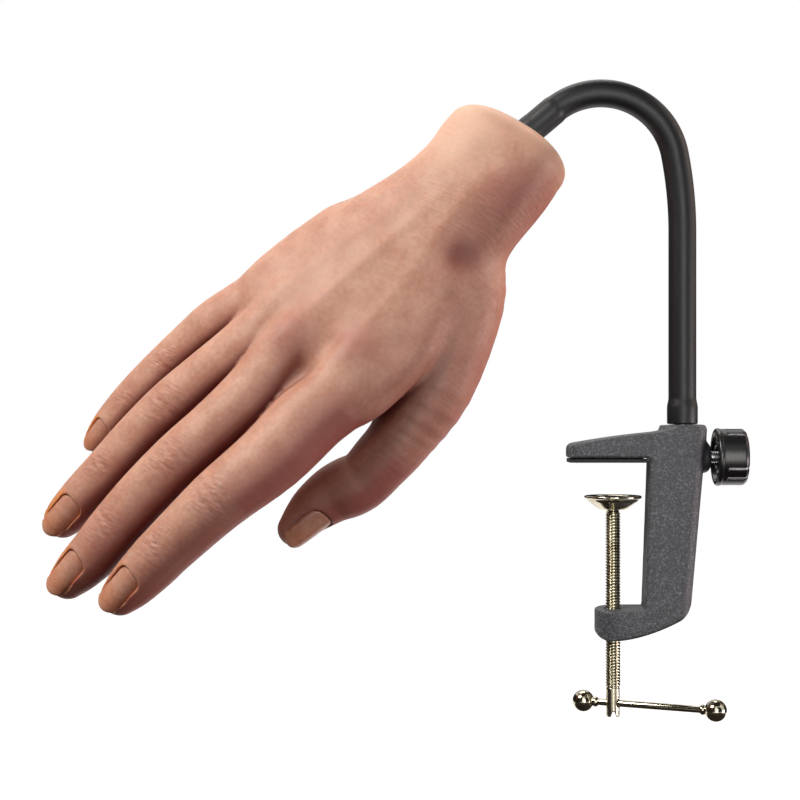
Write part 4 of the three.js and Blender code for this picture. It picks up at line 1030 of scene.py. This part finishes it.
per_turn = 10
thread_points, thread_faces = ringed(
    thread_body(SCREW_RADIUS, SCREW_PITCH, THREAD_DEPTH, SCREW_HEAD_TOP - 0.2, SCREW_TOP, 40, per_turn))
head_grid = Grid((-3, -3, SCREW_END - 0.6), (3, 3, SCREW_HEAD_TOP + 0.8), 0.15)
x, y, z = head_grid.points()
from_middle = np.abs(z - (SCREW_END + SCREW_HEAD_TOP) / 2)
head = round_max(np.hypot(x, y) - SCREW_HEAD_RADIUS, from_middle - (SCREW_HEAD_TOP - SCREW_END) / 2, 0.4)
across = -x * math.sin(BAR_YAW) + y * math.cos(BAR_YAW)
head = soft_max(head, -(np.hypot(across, z - BAR_Z) - BAR_BORE), 0.2)
slit = np.abs(x) - SLIT_HALF - SLIT_HALF * np.clip(SCREW_END + SLIT_DEPTH - z, 0, 2)
head = soft_max(head, -np.maximum(slit + 0 * y, z - SCREW_END - SLIT_DEPTH), 0.2)
head_points, head_faces = skin_of(head, head_grid)
head_points = eased(head_points, head_faces, 1)
start = len(thread_points)
faces = thread_faces + [tuple(int(v) + start for v in face) for face in head_faces]
# Its tip, riveted over inside the dish.
rivet = rounded([(1.6, -17.0), (1.6, -13.1), (3.0, -13.1), (2.6, -12.2), (0.0, -12.1)], 0.3, 3)
rivet_points, rivet_faces = turned([(0, -17.0)] + rivet, sides=40)
start += len(head_points)
faces += [tuple(v + start for v in face) for face in rivet_faces]
points = np.vstack([np.array(thread_points), head_points, np.array(rivet_points)])
piece("clamp_screw_turned", points, faces, rolled_nickel, "spindle", "nickel_plate", ["clamp_screw"])

# Swivel dish: pressed from sheet, with a rolled rim.
pad_foot = PAD_TOP_Z - PAD_HEIGHT
dish = rounded([
    (1.9, pad_foot), (4.6, pad_foot), (5.6, pad_foot + 0.7), (8.3, PAD_TOP_Z - 1.9), (9.0, PAD_TOP_Z - 1.0),
    (PAD_RADIUS, PAD_TOP_Z - 0.8), (PAD_RADIUS, PAD_TOP_Z), (5.4, PAD_TOP_Z), (4.6, PAD_TOP_Z - 2.0),
    (1.9, PAD_TOP_Z - 2.0), (1.9, pad_foot)], 0.7, 6)
points, faces = turned(dish, sides=128)
piece("swivel_dish", points, faces, bright_nickel, "pad_travel", "nickel_plate", ["swivel_pad"])

# Tommy bar with a ball pressed on each end.
bar_way = (math.cos(BAR_YAW), math.sin(BAR_YAW), 0)
bar_profile = rounded([(0, BAR_START), (BAR_RADIUS, BAR_START), (BAR_RADIUS, BAR_START + BAR_LENGTH),
                       (0, BAR_START + BAR_LENGTH)], 0.3, 3)
piece("tommy_bar_drawn", *turned(bar_profile, (0, 0, BAR_Z), bar_way, 48), bright_nickel, "handle_bar",
      "nickel_plate", ["tommy_bar"])
for name, centre, way in (("ball_near", BAR_START - BALL_INSET, -1),
                          ("ball_far", BAR_START + BAR_LENGTH + BALL_INSET, 1)):
    collar = [(BAR_RADIUS + 0.06, -5.0), (1.55, -5.0), (1.7, -4.7), (1.7, -4.1), (1.5, -3.8), (1.5, -3.5)]
    arc = [(BALL_RADIUS * math.cos(a), BALL_RADIUS * math.sin(a))
           for a in np.linspace(-1.15, math.pi / 2, 40)]
    arc[-1] = (0, BALL_RADIUS)
    profile = [(r, centre + way * h) for r, h in collar + arc]
    points, faces = turned(profile, (0, 0, BAR_Z), bar_way, 96)
    if way < 0:
        faces = [tuple(reversed(face)) for face in faces]
    piece(f"{name}_turned", points, faces, bright_nickel, "handle_bar", "nickel_plate", [f"tommy_{name}"],
          smooth=60)

# Locking screw with its thread, and the knob: a rim at its inner end, then narrow grooves in pairs.
points, faces = ringed(thread_body(
    LOCK_SCREW_RADIUS, LOCK_SCREW_PITCH, LOCK_THREAD_DEPTH, 0, LOCK_SCREW_LENGTH, 32, 8))
points = [(LOCK_SCREW_START_X + p[2], p[0], LOCK_Z + p[1]) for p in points]
piece("lock_screw_turned", points, faces, zinc_plate, "lock", "zinc_steel", ["lock_screw"])

sides = 720
angles = np.arange(sides) * 2 * math.pi / sides
knob_profile = rounded([
    (LOCK_SCREW_RADIUS + 0.1, 2.2), (LOCK_SCREW_RADIUS + 1.6, 2.2), (LOCK_SCREW_RADIUS + 1.8, 0.5),
    (5.2, 0.5), (5.6, 1.6), (7.8, 1.6), (8.2, 0.0), (9.3, 0.0), (KNOB_RADIUS, 0.5), (KNOB_RADIUS, 1.3),
    (KNOB_RADIUS - 0.2, 1.7), (KNOB_RADIUS - 0.2, KNOB_LENGTH - 1.1), (KNOB_RADIUS - 1.2, KNOB_LENGTH),
    (0.0, KNOB_LENGTH)], 0.4, 4)
fine_profile = []
for (ra, ha), (rb, hb) in zip(knob_profile[:-1], knob_profile[1:]):
    count = max(1, int(math.hypot(ra - rb, ha - hb) / 0.4)) if ra > 8.4 and rb > 8.4 else 1
    fine_profile += [(ra + (rb - ra) * i / count, ha + (hb - ha) * i / count) for i in range(count)]
rings, painted_groove_light = [], []
for radius, height in fine_profile:
    groove = np.zeros(sides)
    for degrees in KNOB_GROOVES:
        away = np.abs((angles - math.radians(degrees) + math.pi) % (2 * math.pi) - math.pi) * KNOB_RADIUS
        groove = np.maximum(groove, np.sqrt(np.clip(1 - (away / GROOVE_HALF) ** 2, 0, 1)) * GROOVE_DEPTH)
    deep = groove * rises(height, GROOVE_START, GROOVE_START + 0.4) * (radius > 8.0)
    reach = radius - deep
    # The grooves' floors are marked to be coloured light: a painted highlight.
    painted_groove_light.append(rises(deep, GROOVE_DEPTH - 0.14, GROOVE_DEPTH - 0.08) * (height < KNOB_LENGTH - 0.6))
    # Angles are read from straight up, through the viewer's side.
    rings.append(np.stack([np.full(sides, KNOB_START_X + height), -reach * np.sin(angles),
                           LOCK_Z + reach * np.cos(angles)], 1))
points, faces = ringed(rings)
mark(piece("lock_knob_moulded", points, faces, moulded_abs, "lock", "knob_plastic", ["lock_knob"], smooth=35),
     groove=painted_groove_light)

# Finishes of the model's own pieces

FINISHES = {
    "clamp_frame": powder_coat, "jaw_pad": strip_rubber, "clamp_screw": rolled_nickel,
    "swivel_pad": bright_nickel, "tommy": bright_nickel, "lock_screw": zinc_plate, "lock_knob": moulded_abs,
    "neck": sleeve_rubber, "neck_pin": zinc_plate, "hand_stud": zinc_plate, "wrist_plug": moulded_nylon,
    "nail": moulded_tip, "hand_skin": cast_silicone,
}
for name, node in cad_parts.items():
    node.data.materials.clear()
    node.data.materials.append(FINISHES.get(name) or FINISHES[name.split("_")[0]])
